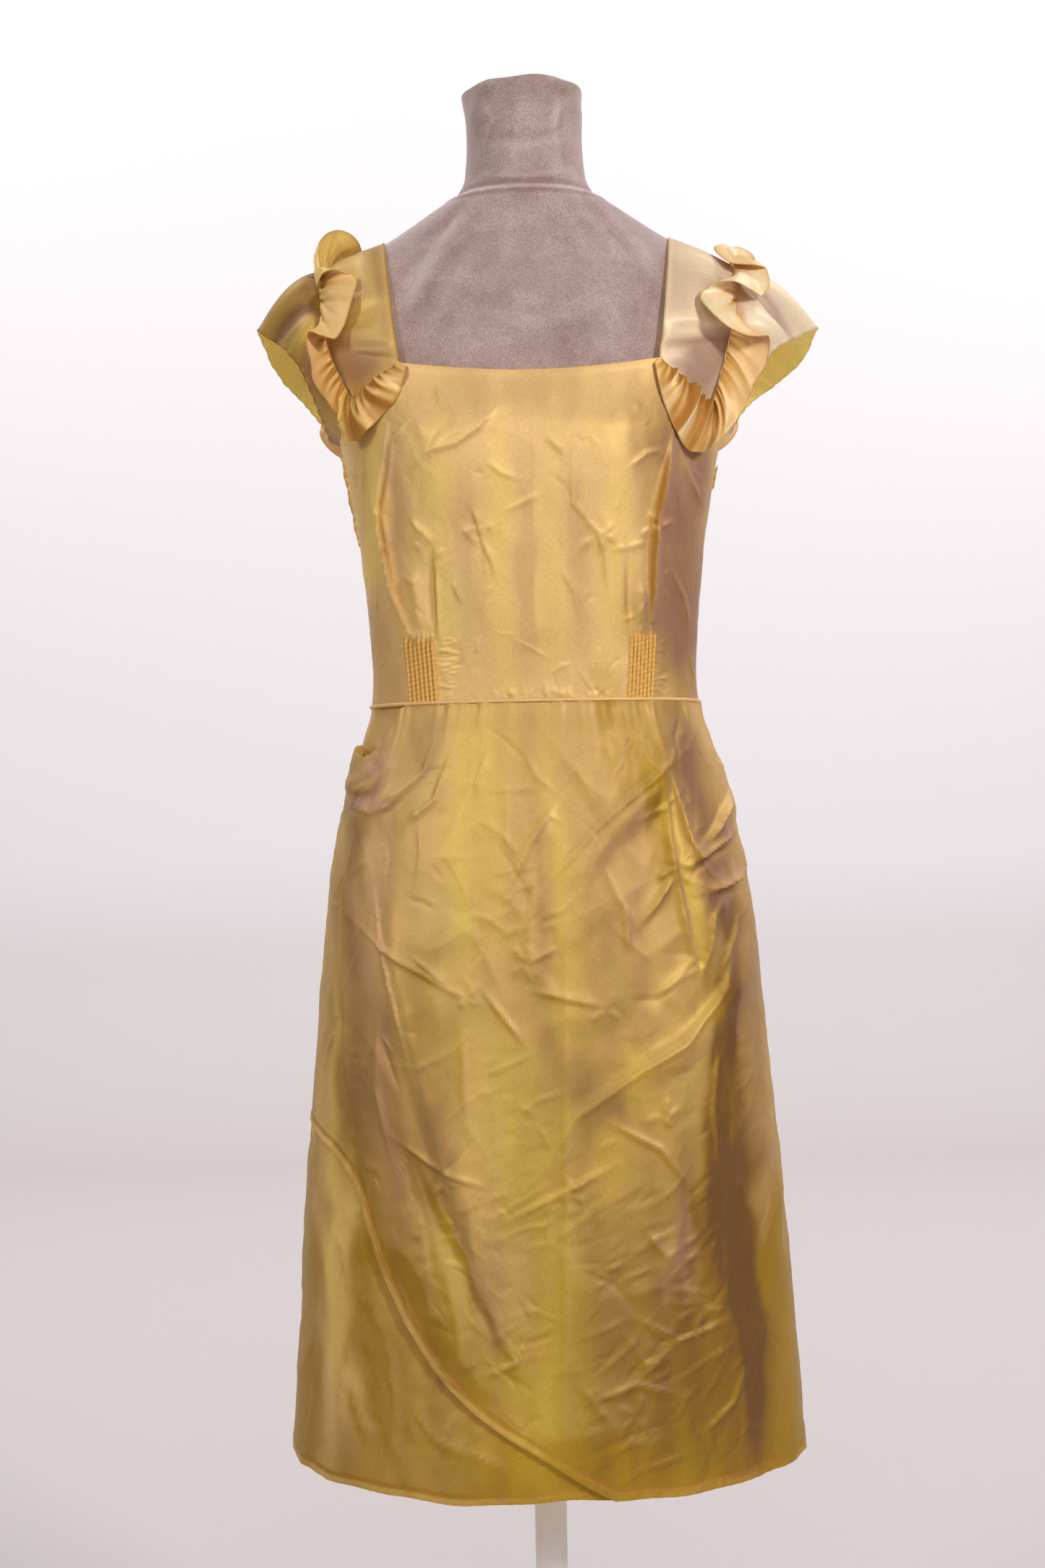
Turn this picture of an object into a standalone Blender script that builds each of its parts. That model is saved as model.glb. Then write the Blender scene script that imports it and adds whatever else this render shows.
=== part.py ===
"""Silk taffeta dress with a square neck, ruffled cap sleeves and a draped wrap skirt, on a dress form.

Sizes are millimetres until a mesh is made. X runs to the wearer's left, -Y is the front, Z is up,
and the origin is the middle of the stand's foot. A turn is an angle round the body, 0 at the front
and 90 at the wearer's left side. An over-shoulder angle is 0 on top of the shoulder, negative in front.
"""

import functools
import math

import bpy
import numpy as np
from mathutils.bvhtree import BVHTree

MM = 0.001
WALL = 1.3  # cloth wall
RUFFLE_WALL = 1.2
RUFFLE_ROUNDING = 10  # smoothing passes that round the seam at its point
RUFFLE_LIFT = 1.1  # the ruffle's underside clears the sleeve and the yoke by this much more
SEAM = 0.4  # gap left where two pieces meet
REST_GAP = 0.65  # gap between the yoke's inside and the form's shoulder
SLEEVE_EASE = 0.5  # the sleeve stands this far off the armhole seam
PIPING_RADIUS = 1.6
WAIST_Z = 1001.5
UNDERARM_Z = 1206.0
SHOULDER_CENTRE_Z = 1290.0  # centre that the over-shoulder angles are measured from
NECK_FRONT_Z = 1243.0
NECK_BACK_Z = 1262.0
SIDE_SEAM_TURN = 0.13  # half the side seam's gap, as a turn
UNDER_INSET = 3.3  # the underskirt's face lies this far inside the overskirt's at the seams
UNDER_SLACK = 6.5  # and this much further in where the overskirt hides it

POST_RADIUS = 12.5
BASE_RADIUS = 165.0
BASE_HEIGHT = 14.0
COLLAR_RADIUS = 24.0
COLLAR_HEIGHT = 34.0

# z, half width, depth in front, depth behind, squareness
FORM_SECTIONS = (
    (800, 146, 108, 116, 2.3),
    (850, 149, 110, 124, 2.3),
    (900, 144, 106, 118, 2.3),
    (945, 133, 99, 104, 2.3),
    (1001, 117, 90, 82, 2.3),
    (1045, 118, 92, 84, 2.3),
    (1095, 123, 98, 91, 2.3),
    (1145, 130, 107, 98, 2.3),
    (1195, 138, 112, 102, 2.3),
    (1235, 151, 104, 103, 2.3),
    (1265, 165, 96, 101, 2.3),
    (1292, 174, 87, 96, 2.3),
    (1315, 175, 77, 87, 2.3),
    (1331, 166, 68, 77, 2.3),
    (1343, 149, 61, 69, 2.3),
    (1352, 127, 57, 63, 2.3),
    (1361, 109, 54, 58, 2.3),
    (1372, 92, 51, 54, 2.25),
    (1386, 71, 49, 51, 2.2),
    (1397, 54, 48, 50, 2.1),
    (1412, 47, 47, 49, 2.0),
    (1440, 45, 45, 47, 2.0),
    (1466, 46, 46, 47, 2.0),
    (1477, 47, 47, 48, 2.0),
    (1482, 43, 43, 44, 2.0),
)
# z, half width, depth in front, depth behind, squareness
DRESS_SECTIONS = (
    (430, 199, 165, 166, 2.3),
    (470, 196, 163, 163, 2.3),
    (536, 191.5, 160, 158, 2.3),
    (604, 187, 157, 153, 2.3),
    (671, 181.5, 152, 148, 2.3),
    (739, 175, 146, 144, 2.3),
    (807, 169, 138, 140, 2.3),
    (857, 163.5, 131, 136, 2.3),
    (891, 158, 125, 131, 2.3),
    (925, 151, 118, 122, 2.3),
    (950, 145, 113, 114, 2.3),
    (976, 134, 106, 103, 2.3),
    (1001, 127, 99, 92, 2.3),
    (1026, 125.5, 100, 91, 2.3),
    (1060, 127.5, 104, 93, 2.3),
    (1094, 130.5, 110, 97, 2.3),
    (1128, 134, 116, 102, 2.3),
    (1162, 140, 121, 106, 2.3),
    (1196, 146, 122, 108, 2.3),
    (1215, 149.5, 118, 109, 2.3),
    (1235, 155.5, 112, 109, 2.3),
    (1265, 168, 102.5, 106.5, 2.3),
    (1292, 177, 93, 101.5, 2.3),
)
BUST = {"x": 62, "z": 1180, "wide": 40, "tall": 44, "out": 7}

# inner x, inner over-shoulder angle, outer x, outer over-shoulder angle
YOKE_ROWS = (
    (130.5, -135.5, 133.0, -134.0),
    (118.0, -126.0, 137.5, -127.0),
    (106.5, -119.5, 141.0, -120.0),
    (94.0, -113.5, 144.5, -112.0),
    (97.0, -103.0, 148.0, -102.0),
    (99.5, -91.0, 150.5, -90.0),
    (102.0, -76.0, 152.5, -76.0),
    (104.5, -60.0, 154.5, -60.0),
    (106.5, -43.0, 155.5, -43.0),
    (108.5, -22.0, 156.5, -22.0),
    (110.0, 0.0, 157.0, 0.0),
    (109.0, 22.0, 156.5, 22.0),
    (107.5, 43.0, 155.5, 43.0),
    (105.5, 60.0, 154.5, 60.0),
    (103.5, 76.0, 152.5, 76.0),
    (101.0, 90.0, 150.0, 90.0),
    (98.0, 105.5, 146.0, 104.0),
    (108.0, 111.5, 142.5, 112.0),
    (119.0, 119.5, 138.5, 120.0),
    (130.5, 129.5, 133.0, 128.0),
)
FRONT_CORNER_ROW = 3
BACK_CORNER_ROW = 16

# share along the armhole, hem x, hem y, hem z, rise of the crown
SLEEVE_HEMS = {
    1: (
        (0.00, 157, 0, 1211, 0),
        (0.10, 163, -40, 1224, 1),
        (0.20, 172, -58, 1244, 4),
        (0.30, 186, -53, 1264, 8),
        (0.39, 205, -30, 1277, 10),
        (0.48, 225, 0, 1289, 11),
        (0.58, 216, 27, 1270, 10),
        (0.68, 200, 52, 1258, 9),
        (0.79, 181, 66, 1246, 6),
        (0.90, 165, 50, 1226, 2),
    ),
    -1: (
        (0.00, 156, 0, 1210, 0),
        (0.10, 160, -40, 1224, 1),
        (0.20, 168, -58, 1246, 4),
        (0.30, 180, -50, 1268, 8),
        (0.39, 196, -28, 1283, 11),
        (0.48, 211, 0, 1297, 12),
        (0.58, 205, 24, 1279, 11),
        (0.68, 193, 46, 1262, 9),
        (0.79, 177, 62, 1245, 6),
        (0.90, 162, 48, 1224, 2),
    ),
}

# share along the seam, tilt up from lying flat in degrees, width
RUFFLE_WAVES = {
    1: (
        (0.00, 10, 4),
        (0.05, 14, 24),
        (0.12, 20, 36),
        (0.18, 18, 36),
        (0.24, 14, 36),
        (0.285, 34, 37),
        (0.335, 128, 35),
        (0.375, 118, 34),
        (0.415, 30, 36),
        (0.45, 48, 34),
        (0.49, 104, 33),
        (0.54, 40, 36),
        (0.59, 96, 36),
        (0.64, 36, 36),
        (0.69, 112, 35),
        (0.75, 24, 36),
        (0.82, 16, 36),
        (0.88, 20, 36),
        (0.95, 14, 24),
        (1.00, 10, 4),
    ),
    -1: (
        (0.00, 12, 6),
        (0.05, 16, 26),
        (0.12, 22, 34),
        (0.18, 16, 36),
        (0.24, 16, 36),
        (0.285, 30, 36),
        (0.33, 92, 36),
        (0.37, 122, 34),
        (0.41, 44, 34),
        (0.45, 66, 36),
        (0.49, 112, 36),
        (0.535, 92, 37),
        (0.58, 34, 36),
        (0.63, 100, 36),
        (0.68, 38, 36),
        (0.73, 108, 35),
        (0.79, 22, 36),
        (0.88, 20, 36),
        (0.95, 14, 24),
        (1.00, 10, 4),
    ),
}

# height (below 0 for a trough), half width, (x, z) points of its line
BODICE_FOLDS = (
    (3.2, 5.0, ((-96, 1046), (-107, 1082), (-117, 1142), (-112, 1168), (-109, 1200))),
    (-2.6, 4.5, ((-74, 1048), (-76, 1110))),
    (2.6, 5.0, ((-84, 1050), (-88, 1100))),
    (-2.6, 4.5, ((70, 1050), (70, 1112))),
    (3.2, 5.0, ((88, 1050), (88, 1136), (104, 1192))),
    (2.4, 5.0, ((79, 1050), (80, 1092))),
    (1.8, 6.0, ((-104, 1168), (-70, 1188), (-40, 1204), (-8, 1222))),
    (-2.0, 6.0, ((-50, 1152), (-32, 1104))),
    (1.8, 6.0, ((36, 1148), (62, 1120), (68, 1074))),
)
SHIRRING = {
    "top": 1047.0,
    "ribs": 7,
    "raise": 1.1,
    "spans": ((-96.0, -73.0), (69.0, 89.0)),
}
SKIRT_FOLDS = (
    (7.0, 8.0, ((-151, 940), (-138, 941), (-124, 946), (-112, 956))),
    (6.5, 9.0, ((-150, 930), (-136, 922), (-120, 924), (-106, 934), (-92, 950))),
    (-3.5, 8.0, ((-146, 915), (-124, 900), (-100, 912))),
    (7.0, 9.0, ((158, 934), (148, 918), (134, 904))),
    (7.0, 9.0, ((161, 912), (146, 898), (126, 886))),
    (7.0, 9.0, ((164, 884), (152, 874), (134, 868))),
    (5.0, 11.0, ((162, 850), (150, 792), (112, 752), (74, 730), (28, 700), (4, 664))),
    (5.0, 11.0, ((113, 970), (80, 930), (50, 900), (24, 870), (8, 850))),
    (4.5, 11.0, ((-112, 872), (-104, 812), (-80, 716))),
    (-6.0, 16.0, ((-78, 720), (-54, 658), (-34, 600), (-14, 550))),
    (6.0, 14.0, ((112, 960), (116, 880), (124, 832), (134, 784))),
    (-5.5, 18.0, ((150, 700), (140, 620), (148, 540))),
    (-5.0, 14.0, ((112, 700), (106, 620), (104, 520))),
    (5.0, 16.0, ((30, 620), (40, 520), (44, 450))),
)
UNDER_FOLDS = (
    (4.0, 12.0, ((-150, 560), (-152, 450))),
    (-4.0, 12.0, ((-128, 560), (-126, 445))),
    (3.0, 14.0, ((-92, 520), (-84, 440))),
)
BACK_FOLDS = (
    (-4.0, 16.0, ((-110, 820), (-128, 620), (-142, 440))),
    (4.0, 18.0, ((-70, 780), (-84, 600), (-96, 440))),
    (-4.0, 16.0, ((-20, 800), (-24, 620), (-30, 440))),
    (4.0, 18.0, ((24, 820), (32, 620), (36, 440))),
    (-4.0, 16.0, ((72, 780), (84, 600), (96, 440))),
    (4.0, 16.0, ((116, 800), (130, 620), (146, 440))),
    (3.0, 9.0, ((-60, 1120), (-20, 1092), (30, 1098))),
    (-2.5, 8.0, ((50, 1040), (40, 1120), (44, 1180))),
    (2.5, 8.0, ((-64, 1030), (-56, 1100), (-60, 1180))),
)
WAIST_GATHERS = {"front": 30, "back": 24, "depth": 1.3, "fade": 24.0}

# x, drop below the waist seam
COWL_EDGE = ((-100, 0), (-105, -4), (-110, -18), (-116, -33), (-123, -38), (-130, -34), (-134, -24))
# x, z of the overskirt's free edge
WRAP_EDGE = (
    (-181, 686),
    (-158, 672),
    (-140, 652),
    (-131, 624),
    (-115, 580),
    (-92, 540),
    (-66, 508),
    (-36, 482),
    (-6, 462),
    (26, 442),
    (52, 428),
)
COWL_LIFT = {"turn": -76, "wide": 12, "tall": 16, "out": 5}
HEM_FOLD = 7.0  # width of the overskirt's turned hem
HEM_RAISE = 0.8
HEM_SIDE_Z = 436.0
HEM_DIP = 4.0  # the hem hangs this much lower at the front and back middle

FLAP_WALL = 1.0
SIDE_FLAPS = {
    "placket_right": {"top": 1198, "bottom": 1128, "from_turn": -96, "to_turn": -83, "rows": 6},
    "tab_left": {"top": 1185, "bottom": 1168, "from_turn": 86, "to_turn": 97, "rows": 3},
}

MATERIALS = {
    "taffeta": {"color": (0.66, 0.47, 0.2), "roughness": 0.38, "metallic": 0.0},
    "taffeta_light": {"color": (0.8, 0.56, 0.26), "roughness": 0.38, "metallic": 0.0},
    "velvet": {"color": (0.36, 0.25, 0.22), "roughness": 0.85, "metallic": 0.0},
    "stand_paint": {"color": (0.82, 0.81, 0.84), "roughness": 0.5, "metallic": 0.0},
}


def clear_scene():
    for old in list(bpy.data.objects):
        bpy.data.objects.remove(old, do_unlink=True)


class Curve:
    """Smooth curves through a table's rows, one for each column after the first, without overshoot."""

    def __init__(self, rows):
        table = np.array(rows, float)
        self.places, self.values = table[:, 0], table[:, 1:]
        self.steps = np.diff(self.places)
        rises = np.diff(self.values, axis=0) / self.steps[:, None]
        self.slopes = np.zeros_like(self.values)
        same_way = rises[:-1] * rises[1:] > 0
        sums = np.where(same_way, rises[:-1] + rises[1:], 1)
        self.slopes[1:-1] = np.where(same_way, 2 * rises[:-1] * rises[1:] / sums, 0)
        self.slopes[0], self.slopes[-1] = rises[0], rises[-1]

    def at(self, place):
        place = min(max(place, self.places[0]), self.places[-1])
        i = min(max(int(np.searchsorted(self.places, place)) - 1, 0), len(self.steps) - 1)
        step = self.steps[i]
        t = (place - self.places[i]) / step
        start, end = self.values[i], self.values[i + 1]
        bend = self.slopes[i] * step * t * (1 - t) ** 2 - self.slopes[i + 1] * step * t * t * (1 - t)
        return start * (1 + 2 * t) * (1 - t) ** 2 + end * t * t * (3 - 2 * t) + bend


FORM = Curve(FORM_SECTIONS)
DRESS = Curve(DRESS_SECTIONS)
YOKE = Curve([(place, *row) for place, row in enumerate(YOKE_ROWS)])
YOKE_LOOSENESS = Curve(((20, 0), (55, 0.25), (100, 0.85), (150, 1)))
FREE_EDGE = Curve(WRAP_EDGE)
COWL = Curve(tuple(reversed(COWL_EDGE)))


def resample(points, count):
    """The points of a path, spread evenly along it."""
    points = np.asarray(points, float)
    lengths = np.concatenate([[0], np.cumsum(np.linalg.norm(np.diff(points, axis=0), axis=1))])
    places = np.linspace(0, lengths[-1], count)
    return np.stack([np.interp(places, lengths, points[:, k]) for k in range(3)], axis=1)


def unit(vectors):
    return vectors / np.linalg.norm(vectors, axis=-1, keepdims=True)


def around(sections, turn, z):
    """The point of a section at a turn from the front."""
    half, front, back, square = sections.at(z)
    side, ahead = math.sin(math.radians(turn)), math.cos(math.radians(turn))
    reach = (abs(side) ** square + abs(ahead) ** square) ** (1 / square)
    depth = front if ahead > 0 else back
    return np.array([half * side / reach, -depth * ahead / reach, z])


def bust_out(x, z):
    wide = (abs(x) - BUST["x"]) / BUST["wide"]
    tall = (z - BUST["z"]) / BUST["tall"]
    return BUST["out"] * math.exp(-wide * wide - tall * tall)


def with_bust(point):
    if point[1] < 0:
        point[1] -= bust_out(point[0], point[2]) * min(1.0, -point[1] / 60)
    return point


def turn_at(sections, x, z, behind=False):
    """The turn at which a section reaches this far to the side."""
    half, _, _, square = sections.at(z)
    side = min(abs(x) / half, 1.0)
    ahead = max(1 - side**square, 0.0) ** (1 / square)
    turn = math.degrees(math.atan2(side, ahead))
    turn = 180 - turn if behind else turn
    return math.copysign(turn, x)


def form_value(point):
    """Below 0 inside the form, above 0 outside it."""
    x, y, z = point
    half, front, back, square = FORM.at(z)
    if y < 0:
        y = min(y + bust_out(x, z), -1e-6)
    depth = front if y < 0 else back
    return abs(x / half) ** square + abs(y / depth) ** square - 1


def form_normal(point):
    step = 0.5
    slopes = [form_value(point + step * axis) - form_value(point - step * axis) for axis in np.eye(3)]
    return unit(np.array(slopes))


def yoke_ease(over):
    """How far the yoke's face stands off the form: close on top, looser towards the points."""
    close = REST_GAP + WALL
    loose = 7.5
    return close + (loose - close) * YOKE_LOOSENESS.at(abs(over))[0]


def over_shoulder(x, over, lift=0.0):
    """A point on the cloth over the shoulder, and the way out of it."""
    way = np.array([0, math.sin(math.radians(over)), math.cos(math.radians(over))])
    centre = np.array([x, 0, SHOULDER_CENTRE_Z])
    near, far = 0.0, 160.0
    for _ in range(40):
        middle = (near + far) / 2
        if form_value(centre + middle * way) < 0:
            near = middle
        else:
            far = middle
    skin = centre + near * way
    out = form_normal(skin)
    return skin + out * (yoke_ease(over) + lift), out


def fold_height(x, z, folds):
    """Sum of the soft ridges and troughs at a place seen from the front or back."""
    total = 0.0
    for height, half_wide, points in folds:
        nearest, place, length = 1e9, 0.0, 0.0
        for (x0, z0), (x1, z1) in zip(points, points[1:]):
            run = math.hypot(x1 - x0, z1 - z0)
            t = min(max(((x - x0) * (x1 - x0) + (z - z0) * (z1 - z0)) / run**2, 0), 1)
            away = math.hypot(x - x0 - t * (x1 - x0), z - z0 - t * (z1 - z0))
            if away < nearest:
                nearest, place = away, length + t * run
            length += run
        taper = math.sin(math.pi * min(max(0.15 + 0.7 * place / length, 0), 1))
        total += height * taper * math.exp(-((nearest / half_wide) ** 2))
    return total


def waist_gather(turn, z):
    """Small pleats that fade out below the waist seam, a column of points on each crest and in each dip."""
    fade = math.exp(-(WAIST_Z - z) / WAIST_GATHERS["fade"])
    if abs(turn) < 90:
        count, phase = WAIST_GATHERS["front"], turn + 90
        across = ramp((88 - abs(turn)) / 30)
    else:
        count, phase = WAIST_GATHERS["back"], turn - 90
        across = ramp((88 - abs(180 - turn)) / 30)
    return WAIST_GATHERS["depth"] * fade * across * math.cos(math.radians(phase) * count)


def outward(grid, ring):
    """Unit normals of a grid of points, rows by columns."""
    if ring:
        along = np.roll(grid, -1, axis=1) - np.roll(grid, 1, axis=1)
    else:
        along = np.gradient(grid, axis=1)
    across = np.gradient(grid, axis=0)
    return unit(np.cross(along, across))


def material(name):
    found = bpy.data.materials.get(name)
    if found:
        return found
    look = MATERIALS[name]
    made = bpy.data.materials.new(name)
    made.use_nodes = True
    shader = made.node_tree.nodes["Principled BSDF"]
    shader.inputs["Base Color"].default_value = (*look["color"], 1)
    shader.inputs["Roughness"].default_value = look["roughness"]
    shader.inputs["Metallic"].default_value = look["metallic"]
    return made


def add_object(name, points, faces, look):
    mesh = bpy.data.meshes.new(name)
    mesh.from_pydata([tuple(point) for point in np.asarray(points) * MM], [], faces)
    mesh.materials.append(material(look))
    mesh.shade_smooth()
    mesh.set_sharp_from_angle(angle=math.radians(40))
    made = bpy.data.objects.new(name, mesh)
    bpy.context.scene.collection.objects.link(made)
    return made


def add_cloth(name, grid, look, ring=False, wall=WALL, raised=None, flip=False):
    """A closed wall: a grid of outer points, the same points moved in, and rims between them."""
    grid = np.asarray(grid, float)
    normals = outward(grid, ring) * (-1 if flip else 1)
    outer = grid if raised is None else grid + normals * np.asarray(raised)[..., None]
    inner = grid - normals * wall
    rows, columns = grid.shape[:2]
    points = np.concatenate([outer.reshape(-1, 3), inner.reshape(-1, 3)])
    shift = rows * columns
    faces = []

    def quad(a, b, c, d):
        faces.append((a, d, c, b) if flip else (a, b, c, d))

    last = columns if ring else columns - 1
    for i in range(rows - 1):
        for j in range(last):
            k = (j + 1) % columns
            a, b, c, d = i * columns + j, i * columns + k, (i + 1) * columns + k, (i + 1) * columns + j
            quad(a, b, c, d)
            quad(shift + a, shift + d, shift + c, shift + b)
    for j in range(last):
        k = (j + 1) % columns
        low = (rows - 1) * columns
        quad(j, shift + j, shift + k, k)
        quad(low + j, low + k, shift + low + k, shift + low + j)
    if not ring:
        for i in range(rows - 1):
            a, b = i * columns, (i + 1) * columns
            quad(a, b, shift + b, shift + a)
            a, b = a + columns - 1, b + columns - 1
            quad(a, shift + a, shift + b, b)
    return add_object(name, points, faces, look)


def add_solid_of_rings(name, rings, look):
    """A closed body through rings of points from bottom to top, with flat ends."""
    count = len(rings[0])
    points = np.concatenate(rings)
    faces = [tuple(reversed(range(count)))]
    for i in range(len(rings) - 1):
        for j in range(count):
            k = (j + 1) % count
            faces.append((i * count + j, i * count + k, (i + 1) * count + k, (i + 1) * count + j))
    top = (len(rings) - 1) * count
    faces.append(tuple(range(top, top + count)))
    return add_object(name, points, faces, look)


def round_ring(radius, z, count):
    turns = np.arange(count) * 2 * math.pi / count
    return np.stack([radius * np.cos(turns), radius * np.sin(turns), np.full(count, z)], axis=1)


def build_stand():
    foot = (
        (BASE_RADIUS - 4, 0),
        (BASE_RADIUS, 3),
        (BASE_RADIUS, BASE_HEIGHT - 5),
        (BASE_RADIUS - 7, BASE_HEIGHT),
        (COLLAR_RADIUS + 10, BASE_HEIGHT + 3),
        (COLLAR_RADIUS, BASE_HEIGHT + 10),
        (COLLAR_RADIUS - 3, COLLAR_HEIGHT),
    )
    add_solid_of_rings("stand_base", [round_ring(r, z, 36) for r, z in foot], "stand_paint")
    bottom = COLLAR_HEIGHT + SEAM
    top = FORM_SECTIONS[0][0] - SEAM
    post = [round_ring(POST_RADIUS, z, 20) for z in (bottom, top)]
    add_solid_of_rings("stand_post", post, "stand_paint")


def build_form():
    """Limbless torso with a plain neck, one smooth closed body."""
    count = 32
    heights = [row[0] for row in FORM_SECTIONS]
    extra = [1170, 1215, 1250, 1279, 1304, 1323, 1337, 1348, 1356]
    rings = []
    for z in sorted(heights + extra):
        turns = [-360 * (j + 0.5) / count for j in range(count)]
        rings.append(np.array([with_bust(around(FORM, -turn, z)) for turn in turns]))
    add_solid_of_rings("form_torso", rings, "velvet")


@functools.lru_cache
def yoke_grid(side, columns=5, rows_per_span=1):
    """Outer points of a yoke from its front point over the shoulder to its back point."""
    grid = []
    places = np.arange(0, len(YOKE_ROWS) - 1 + 1e-9, 1 / rows_per_span)
    for place in places:
        inner_x, inner_over, outer_x, outer_over = YOKE.at(place)
        row = []
        for t in np.linspace(0, 1, columns):
            x = inner_x + (outer_x - inner_x) * t
            over = inner_over + (outer_over - inner_over) * t
            point, _ = over_shoulder(x, over)
            row.append((point[0] * side, point[1], point[2]))
        grid.append(row)
    return np.array(grid)


def build_yokes():
    for name, side in (("yoke_left", 1), ("yoke_right", -1)):
        add_cloth(name, yoke_grid(side), "taffeta", flip=side > 0)


@functools.lru_cache
def arm_path(side, behind):
    """The V seam's inner arm from neck corner to point, as (x, z) pairs."""
    grid = yoke_grid(side)
    rows = grid[BACK_CORNER_ROW:, 0] if behind else grid[FRONT_CORNER_ROW::-1, 0]
    return [(abs(point[0]), point[2]) for point in rows]


def top_edge(x, behind):
    """Height of the bodice's upper edge at a distance from the middle."""
    arm = arm_path(1, behind)
    corner_x = arm[0][0]
    point_x, point_z = arm[-1]
    x = abs(x)
    if x <= corner_x:
        middle = NECK_BACK_Z if behind else NECK_FRONT_Z
        return middle + (arm[0][1] - middle) * (x / corner_x) ** 2 - SEAM
    if x <= point_x:
        return float(np.interp(x, [p[0] for p in arm], [p[1] for p in arm])) - 2 * SEAM
    side_x = around(DRESS, 90, UNDERARM_Z)[0]
    t = min((x - point_x) / (side_x - point_x), 1)
    return point_z - 2 * SEAM + (UNDERARM_Z - point_z + 2 * SEAM) * t**0.8


def bodice_turns(behind):
    """Turns of the bodice's columns, with one at each corner and point and two to a shirred rib."""
    arm = arm_path(1, behind)
    marks = [turn_at(DRESS, p[0], p[1], behind) for p in (arm[0], arm[-1])]
    start, stop = (180 - marks[0] if behind else marks[0]), (180 - marks[1] if behind else marks[1])
    ends = 90 - SIDE_SEAM_TURN
    half = list(np.linspace(0, start, 6)[1:]) + list(np.linspace(start, stop, 4)[1:])
    half += list(np.linspace(stop, ends, 5)[1:])
    turns = [-t for t in reversed(half)] + [0] + half
    if behind:
        return [180 + t for t in turns]
    for low, high in SHIRRING["spans"]:
        first = turn_at(DRESS, low, SHIRRING["top"])
        last = turn_at(DRESS, high, SHIRRING["top"])
        turns = [t for t in turns if not first - 1.2 < t < last + 1.2]
        turns += list(np.linspace(first, last, 2 * SHIRRING["ribs"] + 1))
    return sorted(turns)


def shirring_raise(x, z):
    """Height of the shirred ribs at a place on the front bodice."""
    if z > SHIRRING["top"] + 6:
        return 0.0
    for low, high in SHIRRING["spans"]:
        if low - 0.5 < x < high + 0.5:
            wave = math.sin(math.pi * SHIRRING["ribs"] * (x - low) / (high - low)) ** 2
            fade = min(1.0, (SHIRRING["top"] + 6 - z) / 6)
            return SHIRRING["raise"] * wave * fade
    return 0.0


def bodice_grid(behind, heights):
    """Outer points of a bodice panel, bottom row first, and the ribs raised on them."""
    folds = BACK_FOLDS if behind else BODICE_FOLDS
    bottom = WAIST_Z + PIPING_RADIUS + SEAM
    turns = bodice_turns(behind)
    columns, ribs = [], []
    for turn in turns:
        top = 1220.0
        for _ in range(6):
            top = top_edge(around(DRESS, turn, top)[0], behind)
        column, raised = [], []
        for share in heights:
            z = bottom + (top - bottom) * share
            if share < 0.25:
                z = bottom + (1222.0 - bottom) * share
            point = with_bust(around(DRESS, turn, z))
            out = unit(np.array([point[0] / 1.6, point[1], 0]))
            swell = fold_height(point[0], z, folds) * min(1.0, (top - z) / 12)
            column.append(point + out * swell)
            raised.append(0.0 if behind else shirring_raise(point[0], z))
        columns.append(column)
        ribs.append(raised)
    return np.array(columns).transpose(1, 0, 2), np.array(ribs).T


def build_bodice():
    heights = (0, 0.07, 0.14, 0.2, 0.27, 0.36, 0.46, 0.56, 0.66, 0.76, 0.88, 1)
    grid, ribs = bodice_grid(False, heights)
    add_cloth("bodice_front", grid, "taffeta", raised=ribs)
    heights = (0, 0.1, 0.2, 0.32, 0.44, 0.56, 0.68, 0.8, 0.9, 1)
    grid, _ = bodice_grid(True, heights)
    add_cloth("bodice_back", grid, "taffeta")


def armhole_path(side):
    """The armhole seam from the underarm up the front, over the shoulder and down the back."""
    yoke = yoke_grid(1)[:, -1]
    side_x = around(DRESS, 90, UNDERARM_Z)[0]
    path = [np.array([side_x, 0, UNDERARM_Z])]
    for behind in (False, True):
        ends = np.linspace(side_x, abs(yoke[-1 if behind else 0][0]), 5)[1:]
        lower = []
        for x in ends:
            z = top_edge(x, behind)
            turn = turn_at(DRESS, x, z, behind)
            lower.append(with_bust(around(DRESS, turn, z)))
        if behind:
            path += list(reversed(lower))
        else:
            path += lower + list(yoke[1:-1])
    path = np.array(path)
    return path * np.array([side, 1, 1])


@functools.lru_cache
def sleeve_grid(side, count=30, rows=5):
    """Outer points of a cap sleeve, from the armhole seam out to the hem loop."""
    path = armhole_path(side)
    seam = resample(np.concatenate([path, path[:1]]), count + 1)[:-1]
    hems = Curve((*SLEEVE_HEMS[side], (1.0, *SLEEVE_HEMS[side][0][1:])))
    middle = np.array([150.0 * side, 0, 1268])
    grid = np.zeros((rows, count, 3))
    for j in range(count):
        hem_x, hem_y, hem_z, crown = hems.at(j / count)
        hem = np.array([hem_x * side, hem_y, hem_z])
        out = seam[j] - middle
        out[0] = 0
        out = unit(out)
        start = seam[j] + unit(hem - seam[j]) * SEAM * 1.5 + out * SLEEVE_EASE
        for i in range(rows):
            t = i / (rows - 1)
            grid[i, j] = start + (hem - start) * t + out * crown * 4 * t * (1 - t)
    return grid


def build_sleeves():
    for name, side in (("sleeve_left", 1), ("sleeve_right", -1)):
        add_cloth(name, sleeve_grid(side), "taffeta", ring=True, flip=side > 0)


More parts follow.
